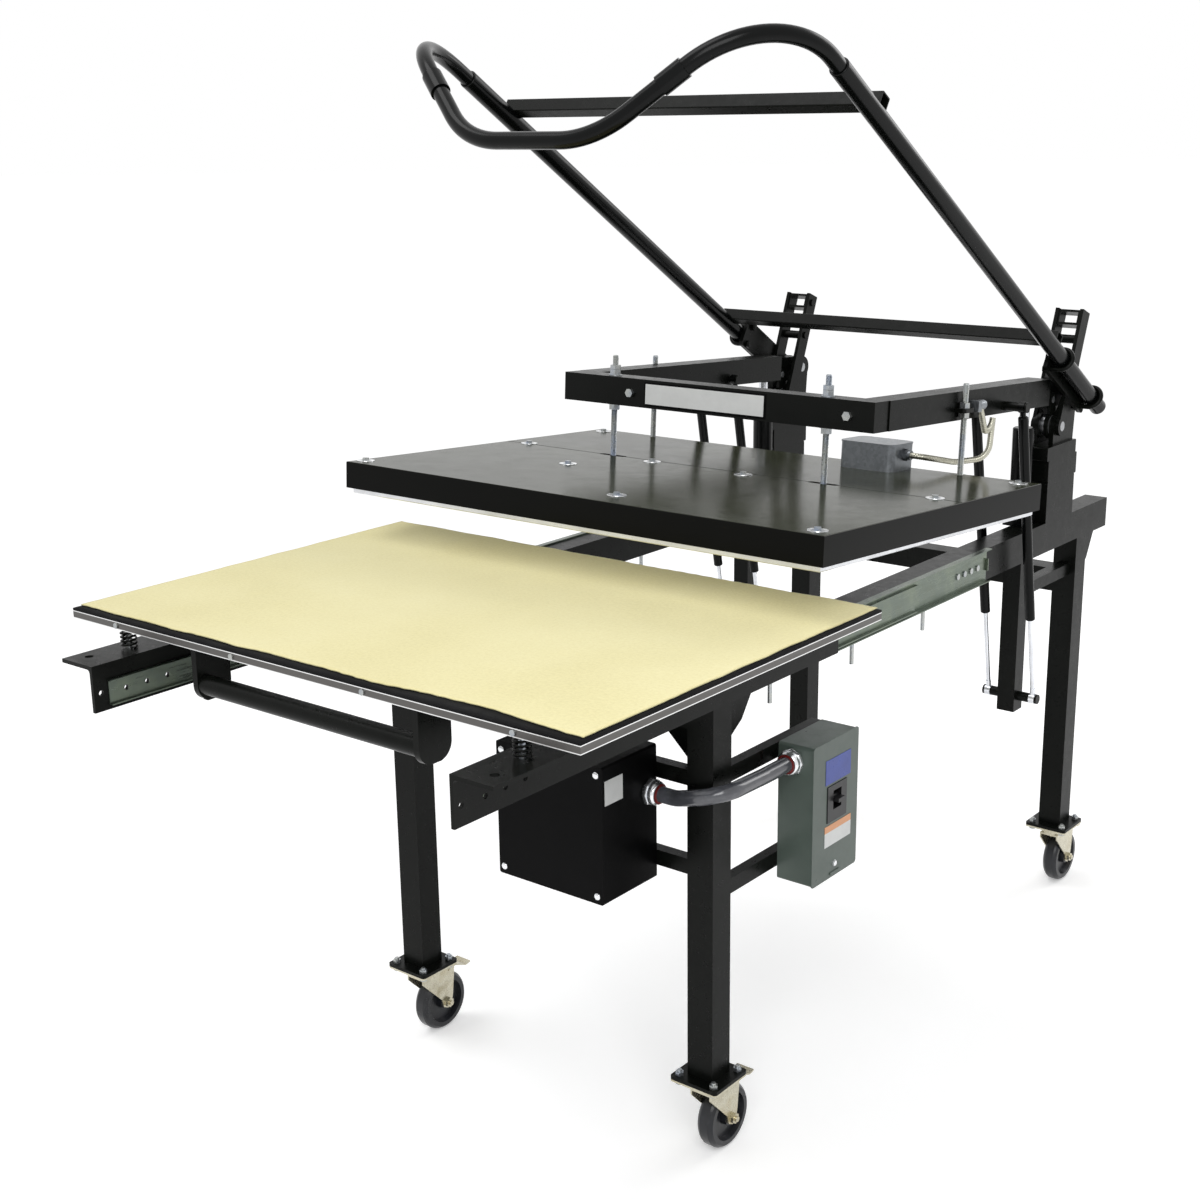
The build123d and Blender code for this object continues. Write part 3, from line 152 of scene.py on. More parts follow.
def paint_top_sheen(tree, colour, painted_sheen, broad):
    """The colour with an uneven painted sheen, a lighter colour standing in for reflected light, on
    the faces that look up.
    """
    place = tree.nodes.new("ShaderNodeNewGeometry")
    parts = tree.nodes.new("ShaderNodeSeparateXYZ")
    link(tree, place.outputs["Normal"], parts.inputs["Vector"])
    upward = tree.nodes.new("ShaderNodeMapRange")
    upward.inputs["From Min"].default_value = 0.7
    upward.inputs["From Max"].default_value = 0.95
    link(tree, parts.outputs["Z"], upward.inputs["Value"])
    amount = tree.nodes.new("ShaderNodeMath")
    amount.operation = "MULTIPLY"
    link(tree, upward.outputs["Result"], amount.inputs[0])
    link(tree, spread(tree, broad, 0.7, 1.0), amount.inputs[1])
    mix = tree.nodes.new("ShaderNodeMix")
    mix.data_type = "RGBA"
    link(tree, amount.outputs["Value"], mix.inputs["Factor"])
    link(tree, colour, mix.inputs["A"])
    mix.inputs["B"].default_value = (*painted_sheen, 1)
    return mix.outputs["Result"]


def paint(name, colour, rough, shine=0.5, coat=0.0, patch=9.0, vary=0.25, peel=700.0,
          peel_depth=0.00004, painted_sheen=None):
    """Painted or plated metal: uneven colour and gloss, with a fine orange peel."""
    material, tree, shader = new_material(name)
    vector = coordinates(tree)
    broad = noise_node(tree, vector, patch, 5.0, 0.6)
    stops = [(0.3, scaled(colour, 1 - vary)), (0.55, colour), (0.8, scaled(colour, 1 + vary))]
    uneven = colour_ramp(tree, broad, stops)
    # If asked, a painted sheen: the faces that look up are mixed towards a lighter colour
    if painted_sheen:
        uneven = paint_top_sheen(tree, uneven, painted_sheen, broad)
    link(tree, uneven, shader.inputs["Base Color"])
    fine = noise_node(tree, vector, patch * 6, 6.0, 0.7)
    link(tree, spread(tree, fine, rough * 0.8, rough * 1.25), shader.inputs["Roughness"])
    shader.inputs["Specular IOR Level"].default_value = shine
    shader.inputs["Coat Weight"].default_value = coat
    shader.inputs["Coat Roughness"].default_value = 0.12
    bump(tree, shader, noise_node(tree, vector, peel, 2.0, 0.5), 0.5, peel_depth)
    return material


def galvanised(name, colour, rough):
    """Hot-dip zinc with its spangle."""
    material, tree, shader = new_material(name)
    vector = coordinates(tree)
    cells = tree.nodes.new("ShaderNodeTexVoronoi")
    cells.inputs["Scale"].default_value = 170.0
    link(tree, vector, cells.inputs["Vector"])
    grey = tree.nodes.new("ShaderNodeRGBToBW")
    link(tree, cells.outputs["Color"], grey.inputs["Color"])
    stops = [(0.2, scaled(colour, 0.88)), (0.5, colour), (0.85, scaled(colour, 1.12))]
    link(tree, colour_ramp(tree, grey.outputs["Val"], stops), shader.inputs["Base Color"])
    link(tree, spread(tree, grey.outputs["Val"], rough * 0.85, rough * 1.15),
         shader.inputs["Roughness"])
    shader.inputs["Metallic"].default_value = 0.85
    bump(tree, shader, noise_node(tree, vector, 160.0, 3.0), 0.4, 0.00008)
    return material


def plated(name, colour, second, rough, stretch=(1, 1, 1)):
    """Passivated zinc that shimmers between two tints, with drawing lines."""
    material, tree, shader = new_material(name)
    vector = coordinates(tree)
    broad = noise_node(tree, vector, 14.0, 5.0, 0.65)
    stops = [(0.34, colour), (0.52, second), (0.7, scaled(colour, 0.8))]
    link(tree, colour_ramp(tree, broad, stops), shader.inputs["Base Color"])
    lines = noise_node(tree, coordinates(tree, stretch), 260.0, 3.0)
    link(tree, spread(tree, lines, rough * 0.75, rough * 1.3), shader.inputs["Roughness"])
    shader.inputs["Metallic"].default_value = 0.9
    bump(tree, shader, lines, 0.3, 0.00005)
    return material


def paint_edge_highlights(name, side, arris_highlight, low, high, width):
    """A milled plate: sides painted dark as a painted reflection, with painted highlights as bright
    arrises along the bottom and top edges.
    """
    material, tree, shader = new_material(name)
    place = tree.nodes.new("ShaderNodeTexCoord")
    parts = tree.nodes.new("ShaderNodeSeparateXYZ")
    link(tree, place.outputs["Object"], parts.inputs["Vector"])
    height = tree.nodes.new("ShaderNodeMapRange")
    height.inputs["From Min"].default_value = low
    height.inputs["From Max"].default_value = high
    link(tree, parts.outputs["Z"], height.inputs["Value"])
    soft = 0.04
    stops = [(0.0, arris_highlight), (width, arris_highlight), (width + soft, side), (1 - soft - width, side),
             (1 - width, arris_highlight), (1.0, arris_highlight)]
    link(tree, colour_ramp(tree, height.outputs["Result"], stops), shader.inputs["Base Color"])
    lines = noise_node(tree, coordinates(tree, (0.05, 0.05, 1)), 300.0, 3.0)
    link(tree, spread(tree, lines, 0.26, 0.42), shader.inputs["Roughness"])
    shader.inputs["Metallic"].default_value = 0.85
    bump(tree, shader, lines, 0.3, 0.00005)
    return material


def felt_material():
    """Pressed felt: tangled fibres, faint stains and a soft sheen."""
    material, tree, shader = new_material("felt")
    vector = coordinates(tree)
    cloud = noise_node(tree, vector, 4.0, 3.0, 0.5)
    speck = noise_node(tree, vector, 190.0, 5.0, 0.75)
    mixed = tree.nodes.new("ShaderNodeMath")
    mixed.operation = "MULTIPLY_ADD"
    link(tree, speck, mixed.inputs[0])
    mixed.inputs[1].default_value = 0.55
    link(tree, spread(tree, cloud, 0.16, 0.3), mixed.inputs[2])
    stops = [(0.32, (0.75, 0.68, 0.34)), (0.5, (0.85, 0.78, 0.425)), (0.7, (0.93, 0.87, 0.52))]
    link(tree, colour_ramp(tree, mixed.outputs["Value"], stops), shader.inputs["Base Color"])
    shader.inputs["Roughness"].default_value = 0.95
    shader.inputs["Sheen Weight"].default_value = 0.25
    shader.inputs["Sheen Roughness"].default_value = 0.5
    shader.inputs["Specular IOR Level"].default_value = 0.15
    fibres = noise_node(tree, vector, 900.0, 6.0, 0.8)
    soft = bump(tree, shader, noise_node(tree, vector, 38.0, 3.0), 0.5, 0.0012)
    bump(tree, shader, fibres, 0.6, 0.0005, soft)
    return material


def rubber(name, colour, rough, pores=900.0, depth=0.0001, shine=0.4):
    """Rubber, plastic, foam or wool: a cloudy colour over fine pores."""
    material, tree, shader = new_material(name)
    vector = coordinates(tree)
    cloud = noise_node(tree, vector, 22.0, 5.0, 0.6)
    stops = [(0.3, scaled(colour, 0.7)), (0.55, colour), (0.8, scaled(colour, 1.7))]
    link(tree, colour_ramp(tree, cloud, stops), shader.inputs["Base Color"])
    link(tree, spread(tree, cloud, rough * 0.85, rough * 1.15), shader.inputs["Roughness"])
    shader.inputs["Specular IOR Level"].default_value = shine
    bump(tree, shader, noise_node(tree, vector, pores, 3.0), 0.5, depth)
    return material


BLACK = paint("black_frame_paint", (0.0036, 0.0042, 0.0034), 0.3, shine=0.1, vary=0.3)
BLACK_GLOSS = paint("black_gloss_paint", (0.002, 0.0024, 0.0024), 0.2, shine=0.14, patch=6.0)
BOX_BLACK = paint("black_box_paint", (0.002, 0.002, 0.0022), 0.4, shine=0.05, patch=12.0,
                  peel=420.0, peel_depth=0.00012)
# The lighter colour given for the platen's upward faces is a painted sheen, standing in for
# reflected light on its top
PLATEN = paint("platen_paint", (0.0022, 0.0024, 0.0018), 0.17, shine=0.05, coat=0.05, patch=4.0,
               vary=0.3, painted_sheen=(0.037, 0.041, 0.023))
DISCONNECT = paint("grey_green_enamel", (0.088, 0.114, 0.098), 0.34, shine=0.4, patch=7.0,
                   vary=0.12)
SLIDE = plated("slide_zinc", (0.16, 0.19, 0.145), (0.13, 0.157, 0.13), 0.3, (1, 0.05, 1))
FASTENER = plated("fastener_zinc", (0.33, 0.37, 0.44), (0.44, 0.45, 0.43), 0.3)
CASTER = plated("caster_zinc", (0.48, 0.43, 0.3), (0.58, 0.55, 0.44), 0.27)
SPANGLE = galvanised("galvanised_steel", (0.23, 0.245, 0.262), 0.34)
ARMOUR = plated("armour_zinc", (0.4, 0.385, 0.3), (0.5, 0.49, 0.41), 0.3)
BRIGHT = plated("bright_zinc", (0.75, 0.77, 0.8), (0.83, 0.84, 0.85), 0.18)
CHROME = plated("hard_chrome", (0.82, 0.83, 0.85), (0.74, 0.76, 0.8), 0.12, (1, 1, 0.1))
ALUMINIUM = plated("milled_aluminium", (0.8, 0.81, 0.82), (0.72, 0.73, 0.76), 0.3, (0.05, 1, 1))
STEEL = plated("machined_steel", (0.42, 0.43, 0.45), (0.36, 0.37, 0.38), 0.35, (1, 0.1, 1))
TABLE_LOW, TABLE_HIGH = (corner[2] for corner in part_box("table_plate"))
# The table plate: sides painted dark as a painted reflection, and painted highlights along its top
# and bottom arrises
TABLE_PAINTED_EDGES = paint_edge_highlights("table_plate_painted_edges", (0.115, 0.11, 0.105), (0.85, 0.85, 0.85),
                      TABLE_LOW, TABLE_HIGH, 0.09)
FELT = felt_material()
FOAM = rubber("black_foam", (0.0035, 0.0035, 0.004), 0.8, 500.0, 0.0006, 0.15)
WHEEL = rubber("wheel_rubber", (0.012, 0.013, 0.016), 0.3, 500.0, 0.00008)
CONDUIT = rubber("conduit_jacket", (0.085, 0.088, 0.1), 0.13, 300.0, 0.00002, 0.7)
BREAKER = rubber("breaker_plastic", (0.01, 0.01, 0.011), 0.35, 600.0, 0.00006)
BLANKET = rubber("blanket_wool", (0.6, 0.57, 0.48), 0.95, 200.0, 0.001)
RED = rubber("sealing_ring", (0.16, 0.012, 0.01), 0.4)
BARE_WHITE = paint("bare_white_plate", (0.72, 0.73, 0.72), 0.35, patch=30.0, vary=0.06)
BARE_BLUE = paint("bare_blue_plate", (0.03, 0.06, 0.33), 0.32, patch=30.0, vary=0.15)
BARE_ORANGE = paint("bare_orange_plate", (0.75, 0.36, 0.18), 0.4, patch=30.0, vary=0.1)

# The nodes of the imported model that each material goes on, but for those replaced below
LOOKS = {
    BLACK: ("legs", "side_rails", "cross_members", "box_mount_bars", "towers", "spring_posts",
            "press_frame", "carriage_irons", "handle_crossbars", "rockers", "eccentric_links",
            "pull_handle", "handle_fittings"),
    BLACK_GLOSS: ("handle_arms", "handle_bail", "grip_sleeve", "support_cylinders",
                  "gas_cylinders"),
    BOX_BLACK: ("control_box", "control_box_cover"),
    PLATEN: ("platen_cover",),
    DISCONNECT: ("disconnect_box", "disconnect_cover"),
    SLIDE: ("slide_channels", "slide_mid_members", "slide_runners"),
    FASTENER: ("head_fasteners", "frame_fasteners", "spring_bolts"),
    CASTER: ("caster_plates",),
    SPANGLE: ("junction_box", "conduit_connectors"),
    CHROME: ("gas_rods", "support_rods"),
    ALUMINIUM: ("heat_plate",),
    TABLE_PAINTED_EDGES: ("table_plate",),
    CONDUIT: ("conduit",),
    BREAKER: ("breaker_block", "breaker_toggle"),
    BLANKET: ("insulation_blanket",),
    STEEL: ("heater_elements", "hinge_pins", "eccentric_shafts"),
}


def dress(node, material):
    """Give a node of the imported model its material."""
    slots = NODES[node].data.materials
    slots.clear()
    slots.append(material)


for look, names in LOOKS.items():
    for name in names:
        dress(name, look)
for corner in ("fl", "fr", "rl", "rr"):
    dress("caster_fork_" + corner, CASTER)
    dress("caster_brake_" + corner, CASTER)
    dress("caster_wheel_" + corner, WHEEL)


# Mesh helpers
def new_piece(name, points, faces, material, body, smooth=True):
    """A mesh object that moves with a body."""
    mesh = bpy.data.meshes.new(name)
    mesh.from_pydata([tuple(p) for p in points], [], faces)
    mesh.validate()
    mesh.update()
    piece = bpy.data.objects.new(name, mesh)
    bpy.context.scene.collection.objects.link(piece)
    mesh.materials.append(material)
    if smooth:
        mesh.shade_smooth()
    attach(piece, body)
    return piece


def apply_modifiers(piece):
    graph = bpy.context.evaluated_depsgraph_get()
    graph.update()
    done = bpy.data.meshes.new_from_object(piece.evaluated_get(graph))
    piece.modifiers.clear()
    piece.data = done


def head_place(x, u, v):
    """The place of a point in the head's own frame: across, back and up from its front edge."""
    turn = Matrix.Rotation(-TILT, 4, "X")
    return Matrix.Translation(HEAD_AT) @ turn @ Matrix.Translation((x, u, v))


def stand_place(x, y, z):
    """The place of a point whose y is measured from the table's front edge."""
    return Matrix.Translation((x, FRONT + y, z))


def bevelled_plate(name, size, place, material, body, edge):
    """A thin plate with bevelled edges: size along x, y, z, then put in place by a matrix."""
    hx, hy, hz = (s / 2 for s in size)
    corners = [(x, y, z) for x in (-hx, hx) for y in (-hy, hy) for z in (-hz, hz)]
    faces = [(0, 1, 3, 2), (4, 6, 7, 5), (0, 4, 5, 1), (2, 3, 7, 6), (0, 2, 6, 4), (1, 5, 7, 3)]
    piece = new_piece(name, [place @ Vector(c) for c in corners], faces, material, body, False)
    bevel = piece.modifiers.new("edge", "BEVEL")
    bevel.width = edge
    bevel.segments = 3
    apply_modifiers(piece)


def closed_tube(first, rings, sides):
    """The faces of a tube through rings of points, the first point numbered first."""
    faces = []
    for n in range(rings - 1):
        for k in range(sides):
            a = first + n * sides + k
            b = first + n * sides + (k + 1) % sides
            faces.append((a, b, b + sides, a + sides))
    last = first + (rings - 1) * sides
    faces.append(tuple(first + k for k in reversed(range(sides))))
    faces.append(tuple(last + k for k in range(sides)))
    return faces


def grid_slab(name, x_cells, y_cells, top, bottom, material, body):
    """A closed slab whose top and bottom points are functions of the grid place, 0 to 1."""
    points = []
    for surface in (top, bottom):
        for j in range(y_cells + 1):
            for i in range(x_cells + 1):
                points.append(surface(i / x_cells, j / y_cells))
    row = x_cells + 1
    count = row * (y_cells + 1)
    faces = []
    for j in range(y_cells):
        for i in range(x_cells):
            a = j * row + i
            faces.append((a, a + 1, a + row + 1, a + row))
            faces.append((count + a, count + a + row, count + a + row + 1, count + a + 1))
    for i in range(x_cells):
        a = y_cells * row + i
        faces.append((i, count + i, count + i + 1, i + 1))
        faces.append((a, a + 1, count + a + 1, count + a))
    for j in range(y_cells):
        a = j * row
        b = a + x_cells
        faces.append((a, a + row, count + a + row, count + a))
        faces.append((b, count + b, count + b + row, b + row))
    return new_piece(name, points, faces, material, body)


# Foam and felt on the table
FOAM_CELLS = (150, 110)
FOAM_SINK = 0.0008
FOAM_SWELL = 0.0007
FOAM_RIM = 0.0012
FELT_CELLS = (190, 140)
FELT_SINK = 0.0002
FELT_RIM = 0.0006
FELT_LIFT = 0.0001
RAGGED = 0.0035
FINE_SHARE = 0.4
# Where the felt's front edge lies further back: middle and half width along x, and depth
SET_BACK = ((0.33, 0.17, 0.011), (-0.02, 0.11, 0.004))
# The felt's ripples: height, scale and seed. Shallow at the rim, and never deep
RIPPLES = ((0.0011, 5.5, 9.0), (0.0006, 17, 4.0))
RIM_SHARE = 0.35
DEEPEST = -0.0004
# How fast the ragged sides, the ragged ends and the calm rim fade inwards
SIDE_FADE = 40
END_FADE = 22
RIM_FADE = 14


def wave(x, y, scale, seed):
    return noise.noise(Vector((x * scale, y * scale, seed)))


def jagged(x, y, broad, fine, seed):
    """The uneven depth of a ragged edge, from a broad wave and a fine one."""
    return abs(wave(x, y, broad, seed)) + FINE_SHARE * abs(wave(x, y, fine, seed + 1))


def on_rim(a, b):
    return min(a, 1 - a, b, 1 - b) == 0


def set_back(x):
    return sum(depth * max(0.0, 1 - ((x - middle) / half) ** 2) for middle, half, depth in SET_BACK)


def make_foam():
    low, high = (Vector(c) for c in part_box("foam_pad"))

    def place(a, b):
        return low.x + a * (high.x - low.x), low.y + b * (high.y - low.y)

    def top(a, b):
        x, y = place(a, b)
        lift = -FOAM_RIM if on_rim(a, b) else FOAM_SWELL * wave(x, y, 14, 3.0)
        return (x, y, high.z - FOAM_SINK + lift)

    def bottom(a, b):
        x, y = place(a, b)
        return (x, y, low.z)

    foam = grid_slab("foam_cushion", *FOAM_CELLS, top, bottom, FOAM, "table")
    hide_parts("foam_pad")
    return foam


def make_felt(foam):
    low, high = (Vector(c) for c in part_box("felt_pad"))
    width, depth = high.x - low.x, high.y - low.y

    def place(a, b):
        """A place on the sheet, with ragged edges that wander inwards."""
        x = low.x + a * width
        y = low.y + b * depth
        near_x = max(0.0, 1 - min(a, 1 - a) * SIDE_FADE)
        near_y = max(0.0, 1 - min(b, 1 - b) * END_FADE)
        inward_x = jagged(0, y, 9, 40, 1.0) * RAGGED * near_x
        inward_y = jagged(x, 0, 7, 34, 5.0) * 2 * RAGGED * near_y
        if b < 0.5:
            inward_y += set_back(x) * near_y
        return (x + inward_x if a < 0.5 else x - inward_x,
                y + inward_y if b < 0.5 else y - inward_y)

    def ripple(x, y, a, b):
        inside = min(1.0, min(a, 1 - a, b, 1 - b) * RIM_FADE)
        rise = sum(height * wave(x, y, scale, seed) for height, scale, seed in RIPPLES)
        return max(DEEPEST, rise) * (RIM_SHARE + (1 - RIM_SHARE) * inside)

    def top(a, b):
        x, y = place(a, b)
        rim = FELT_RIM if on_rim(a, b) else 0.0
        return (x, y, high.z - FELT_SINK + ripple(x, y, a, b) - rim)

    def bottom(a, b):
        x, y = place(a, b)
        return (x, y, low.z + FELT_LIFT)

    felt = grid_slab("felt_sheet", *FELT_CELLS, top, bottom, FELT, "table")
    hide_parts("felt_pad")


make_felt(make_foam())


# Springs under the table, drawn at one length; on the press they shorten as the table floats down
SPRING_PLACES = [(x, FRONT + y) for x in (-0.418, 0.418) for y in (0.020, 0.733)]
SPRING_LOW = 0.90895
SPRING_HIGH = 0.93795
SPRING_R = 0.012
TURNS = 4.5
TURN_STEPS = 28
WIRE_R = 0.0017
WIRE_SIDES = 10


def coil(x, y, steps):
    """Rings of points round the wire of one spring, from its lower end to its upper end."""
    points = []
    for k in range(steps + 1):
        angle = 2 * pi * TURNS * k / steps
        z = SPRING_LOW + (SPRING_HIGH - SPRING_LOW) * k / steps
        for m in range(WIRE_SIDES):
            turn = 2 * pi * m / WIRE_SIDES
            reach = SPRING_R + WIRE_R * cos(turn)
            points.append((x + cos(angle) * reach, y + sin(angle) * reach, z + WIRE_R * sin(turn)))
    return points


def make_springs():
    points = []
    faces = []
    steps = int(TURNS * TURN_STEPS)
    for x, y in SPRING_PLACES:
        faces += closed_tube(len(points), steps + 1, WIRE_SIDES)
        points += coil(x, y, steps)
    springs = new_piece("table_spring_coils", points, faces, BLACK, "table")
    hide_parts("table_springs")
    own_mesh(springs)


make_springs()


# Threads on the pressure rods. A rod is its place across and back, and its top
FRONT_ROD = (0.240, 0.450, 0.195)
REAR_ROD = (0.361, 0.741, 0.172)
ROD_FOOT = -0.034
ROD_R = 0.006
ROD_SIDES = 14
THREAD = 0.00175
THREAD_DEPTH = 0.0009
TIP = 0.0015
TIP_CUT = 0.0012


def threaded_rod(x, u, top, points, faces):
    """Crests and roots half a pitch apart that climb by one pitch in each turn."""
    first = len(points)
    rows = int((top - ROD_FOOT) / (THREAD / 2))
    for k in range(rows + 1):
        for m in range(ROD_SIDES):
            turn = 2 * pi * m / ROD_SIDES
            climb = THREAD * m / ROD_SIDES
            v = min(top, max(ROD_FOOT, ROD_FOOT + k * THREAD / 2 + climb))
            r = ROD_R - (THREAD_DEPTH if k % 2 else 0.0)
            if v > top - TIP:
                r = min(r, ROD_R - TIP_CUT)
            points.append(head_place(x + r * cos(turn), u + r * sin(turn), v).translation)
    for k in range(rows):
        for m in range(ROD_SIDES):
            a = first + k * ROD_SIDES + m
            b = first + k * ROD_SIDES + (m + 1) % ROD_SIDES
            if m < ROD_SIDES - 1:
                faces.append((a, b, b + ROD_SIDES, a + ROD_SIDES))
            elif k + 2 < rows:
                faces.append((a, b + 2 * ROD_SIDES, b + 3 * ROD_SIDES, a + ROD_SIDES))
    last = first + rows * ROD_SIDES
    faces.append(tuple(last + m for m in range(ROD_SIDES)))


def make_rods():
    points = []
    faces = []
    for side in (-1, 1):
        for x, u, top in (FRONT_ROD, REAR_ROD):
            threaded_rod(side * x, u, top, points, faces)
    rods = new_piece("threaded_rods", points, faces, FASTENER, "head", False)
    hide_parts("pressure_rods")


make_rods()


# Bare plates: name, size, place, material and, on the head, the bevel
FRAME_FRONT = 0.428
HEAD_PLATES = (
    ("name_plate_back", (0.276, 0.0012, 0.046), (-0.014, FRAME_FRONT - 0.0006, 0.129),
     BOX_BLACK, 0.0006),
    ("name_plate_bare", (0.268, 0.0010, 0.038), (-0.014, FRAME_FRONT - 0.0016, 0.129),
     BARE_WHITE, 0.0004),
)
BOX_SIDE = 0.2464
COVER_FACE = 0.4314
STAND_PLATES = (
    ("rating_plate_bare", (0.0008, 0.046, 0.042), (BOX_SIDE, 0.427, 0.690), BARE_WHITE),
    ("blue_plate_bare", (0.0008, 0.080, 0.044), (COVER_FACE, 0.804, 0.654), BARE_BLUE),
    ("orange_plate_bare", (0.0008, 0.084, 0.012), (COVER_FACE, 0.806, 0.551), BARE_ORANGE),
    ("white_plate_bare", (0.0008, 0.084, 0.026), (COVER_FACE, 0.806, 0.532), BARE_WHITE),
)
STAND_BEVEL = 0.0003


def make_plates():
    for name, size, at, material, edge in HEAD_PLATES:
        bevelled_plate(name, size, head_place(*at), material, "head", edge)
    for name, size, at, material in STAND_PLATES:
        bevelled_plate(name, size, stand_place(*at), material, "stand", STAND_BEVEL)


make_plates()


# Round pieces
SHARP = radians(35)


def lathe(name, places, profile, material, body, sides=40):
    """A profile of (radius, height) points turned about the Z axis of each place."""
    points = []
    faces = []
    for place in places:
        faces += closed_tube(len(points), len(profile), sides)
        for radius, height in profile:
            for k in range(sides):
                turn = 2 * pi * k / sides
                points.append(place @ Vector((radius * cos(turn), radius * sin(turn), height)))
    piece = new_piece(name, points, faces, material, body)
    piece.data.set_sharp_from_angle(angle=SHARP)


FORWARD = Matrix.Rotation(pi / 2, 4, "X")
OUTWARD = Matrix.Rotation(pi / 2, 4, "Y")
CONDUIT_ENDS = (stand_place(0.246, 0.521, 0.658) @ OUTWARD,
                stand_place(0.390, 0.727, 0.680) @ FORWARD)
LOCKNUT_SIDES = 8
LOCKNUT = [(0.0223, 0.0008), (0.0232, 0.0020), (0.0232, 0.0084), (0.0223, 0.0096)]
GLAND = [(0.0196, 0.0094), (0.0205, 0.0104), (0.0205, 0.0160), (0.0192, 0.0196), (0.0170, 0.0212)]
RING = [(0.0146, 0.0200), (0.0166, 0.0208), (0.0170, 0.0222), (0.0166, 0.0236), (0.0140, 0.0242)]


def make_glands():
    lathe("gland_locknuts", CONDUIT_ENDS, LOCKNUT, BRIGHT, "stand", LOCKNUT_SIDES)
    lathe("gland_domes", CONDUIT_ENDS, GLAND, BRIGHT, "stand")
    lathe("sealing_rings", CONDUIT_ENDS, RING, RED, "stand")


COVER_POINTS = ((-0.223, 0.291), (-0.133, 0.435), (0.081, 0.429), (0.069, 0.067), (0.485, 0.033),
                (0.461, 0.454), (-0.500, 0.033), (-0.461, 0.454), (-0.485, 0.728), (0.485, 0.728))
WASHER = [(0.0165, 0.0), (0.0168, 0.0004), (0.0165, 0.0011), (0.0100, 0.0013)]
SCREW_HEAD = [(0.0058, 0.0), (0.0058, 0.0018), (0.0048, 0.0031), (0.0026, 0.0038)]
SCREW_SIDES = 24
BOX_SCREWS = [(x, 0.398, z) for x in (0.036, 0.234) for z in (0.514, 0.721)]
DISCONNECT_SCREW = (0.431, 0.797, 0.482)
SEAM_U = 0.450


def make_small_hardware():
    lathe("cover_washers", [head_place(x, u, 0) for x, u in COVER_POINTS], WASHER, BRIGHT, "head")
    lathe("box_screw_heads", [stand_place(*at) @ FORWARD for at in BOX_SCREWS], SCREW_HEAD,
          BRIGHT, "stand", SCREW_SIDES)
    lathe("disconnect_screw_head", [stand_place(*DISCONNECT_SCREW) @ OUTWARD], SCREW_HEAD,
          BRIGHT, "stand", SCREW_SIDES)
    bevelled_plate("cover_seam", (1.030, 0.0014, 0.0003), head_place(0, SEAM_U, 0.0001),
                   BOX_BLACK, "head", 0.0001)


make_glands()
make_small_hardware()


# The armoured lead, which its box and the side bar hold, with the ribs of its strip winding
LEAD_R = 0.006
LEAD_ROUTE = [(0.262, 0.712, 0.030), (0.292, 0.712, 0.030), (0.318, 0.800, 0.014),
              (0.362, 0.852, 0.022), (0.362, 0.862, 0.128), (0.362, 0.800, 0.128)]
LEAD_BENDS = (0.022, 0.035, 0.032, 0.026)
LEAD_SIDES = 16
RIB_PITCH = 0.0042
RIB_DEPTH = 0.0005


def filleted(route, bends, arc_steps=14):
    """The points of a polyline whose inner corners are rounded to the bend radii."""
    corners = [Vector(point) for point in route]
    path = [corners[0]]
    for before, corner, after, bend in zip(corners, corners[1:], corners[2:], bends):
        back = (before - corner).normalized()
        ahead = (after - corner).normalized()
        half = back.angle(ahead) / 2
        centre = corner + (back + ahead).normalized() * (bend / sin(half))
        start = corner + back * (bend / tan(half)) - centre
        axis = start.cross(ahead)
        for k in range(arc_steps + 1):
            turn = (pi - 2 * half) * k / arc_steps
            path.append(centre + Matrix.Rotation(turn, 3, axis) @ start)
    path.append(corners[-1])
    return path


def evenly(path, step):
    """The same path with its points a step apart."""
    points = [path[0]]
    left = step
    for a, b in zip(path, path[1:]):
        length = (b - a).length
        at = left
        while at <= length and length > 0:
            points.append(a.lerp(b, at / length))
            at += step
        left = at - length
    return points


def make_lead():
    """Rings along the route, four to a rib, two of them in its groove."""
    route = evenly(filleted(LEAD_ROUTE, LEAD_BENDS), RIB_PITCH / 4)
    path = [head_place(*point).translation for point in route]
    points = []
    across = Vector((0, 0, 1))
    for n, at in enumerate(path):
        along = (path[min(n + 1, len(path) - 1)] - path[max(n - 1, 0)]).normalized()
        across = (across - along * across.dot(along)).normalized()
        other = along.cross(across)
        radius = LEAD_R - RIB_DEPTH * (n % 4 in (0, 3))
        for k in range(LEAD_SIDES):
            turn = 2 * pi * k / LEAD_SIDES
            points.append(at + (across * cos(turn) + other * sin(turn)) * radius)
    faces = closed_tube(0, len(path), LEAD_SIDES)
    lead = new_piece("armoured_lead_strip", points, faces, ARMOUR, "head")
    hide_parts("armoured_lead")


make_lead()


# Floor, world and lights
FLOOR_HALF = 60.0
FLOOR_LIFT = 0.3
WORLD_LIGHT = 0.42


def background_ray(tree):
    """1 where the camera sees the background itself or through a mirror or glass, else 0."""
    path = tree.nodes.new("ShaderNodeLightPath")
    total = path.outputs["Is Camera Ray"]
    for kind in ("Is Glossy Ray", "Is Transmission Ray"):
        either = tree.nodes.new("ShaderNodeMath")
        either.operation = "MAXIMUM"
        link(tree, total, either.inputs[0])
        link(tree, path.outputs[kind], either.inputs[1])
        total = either.outputs["Value"]
    return total


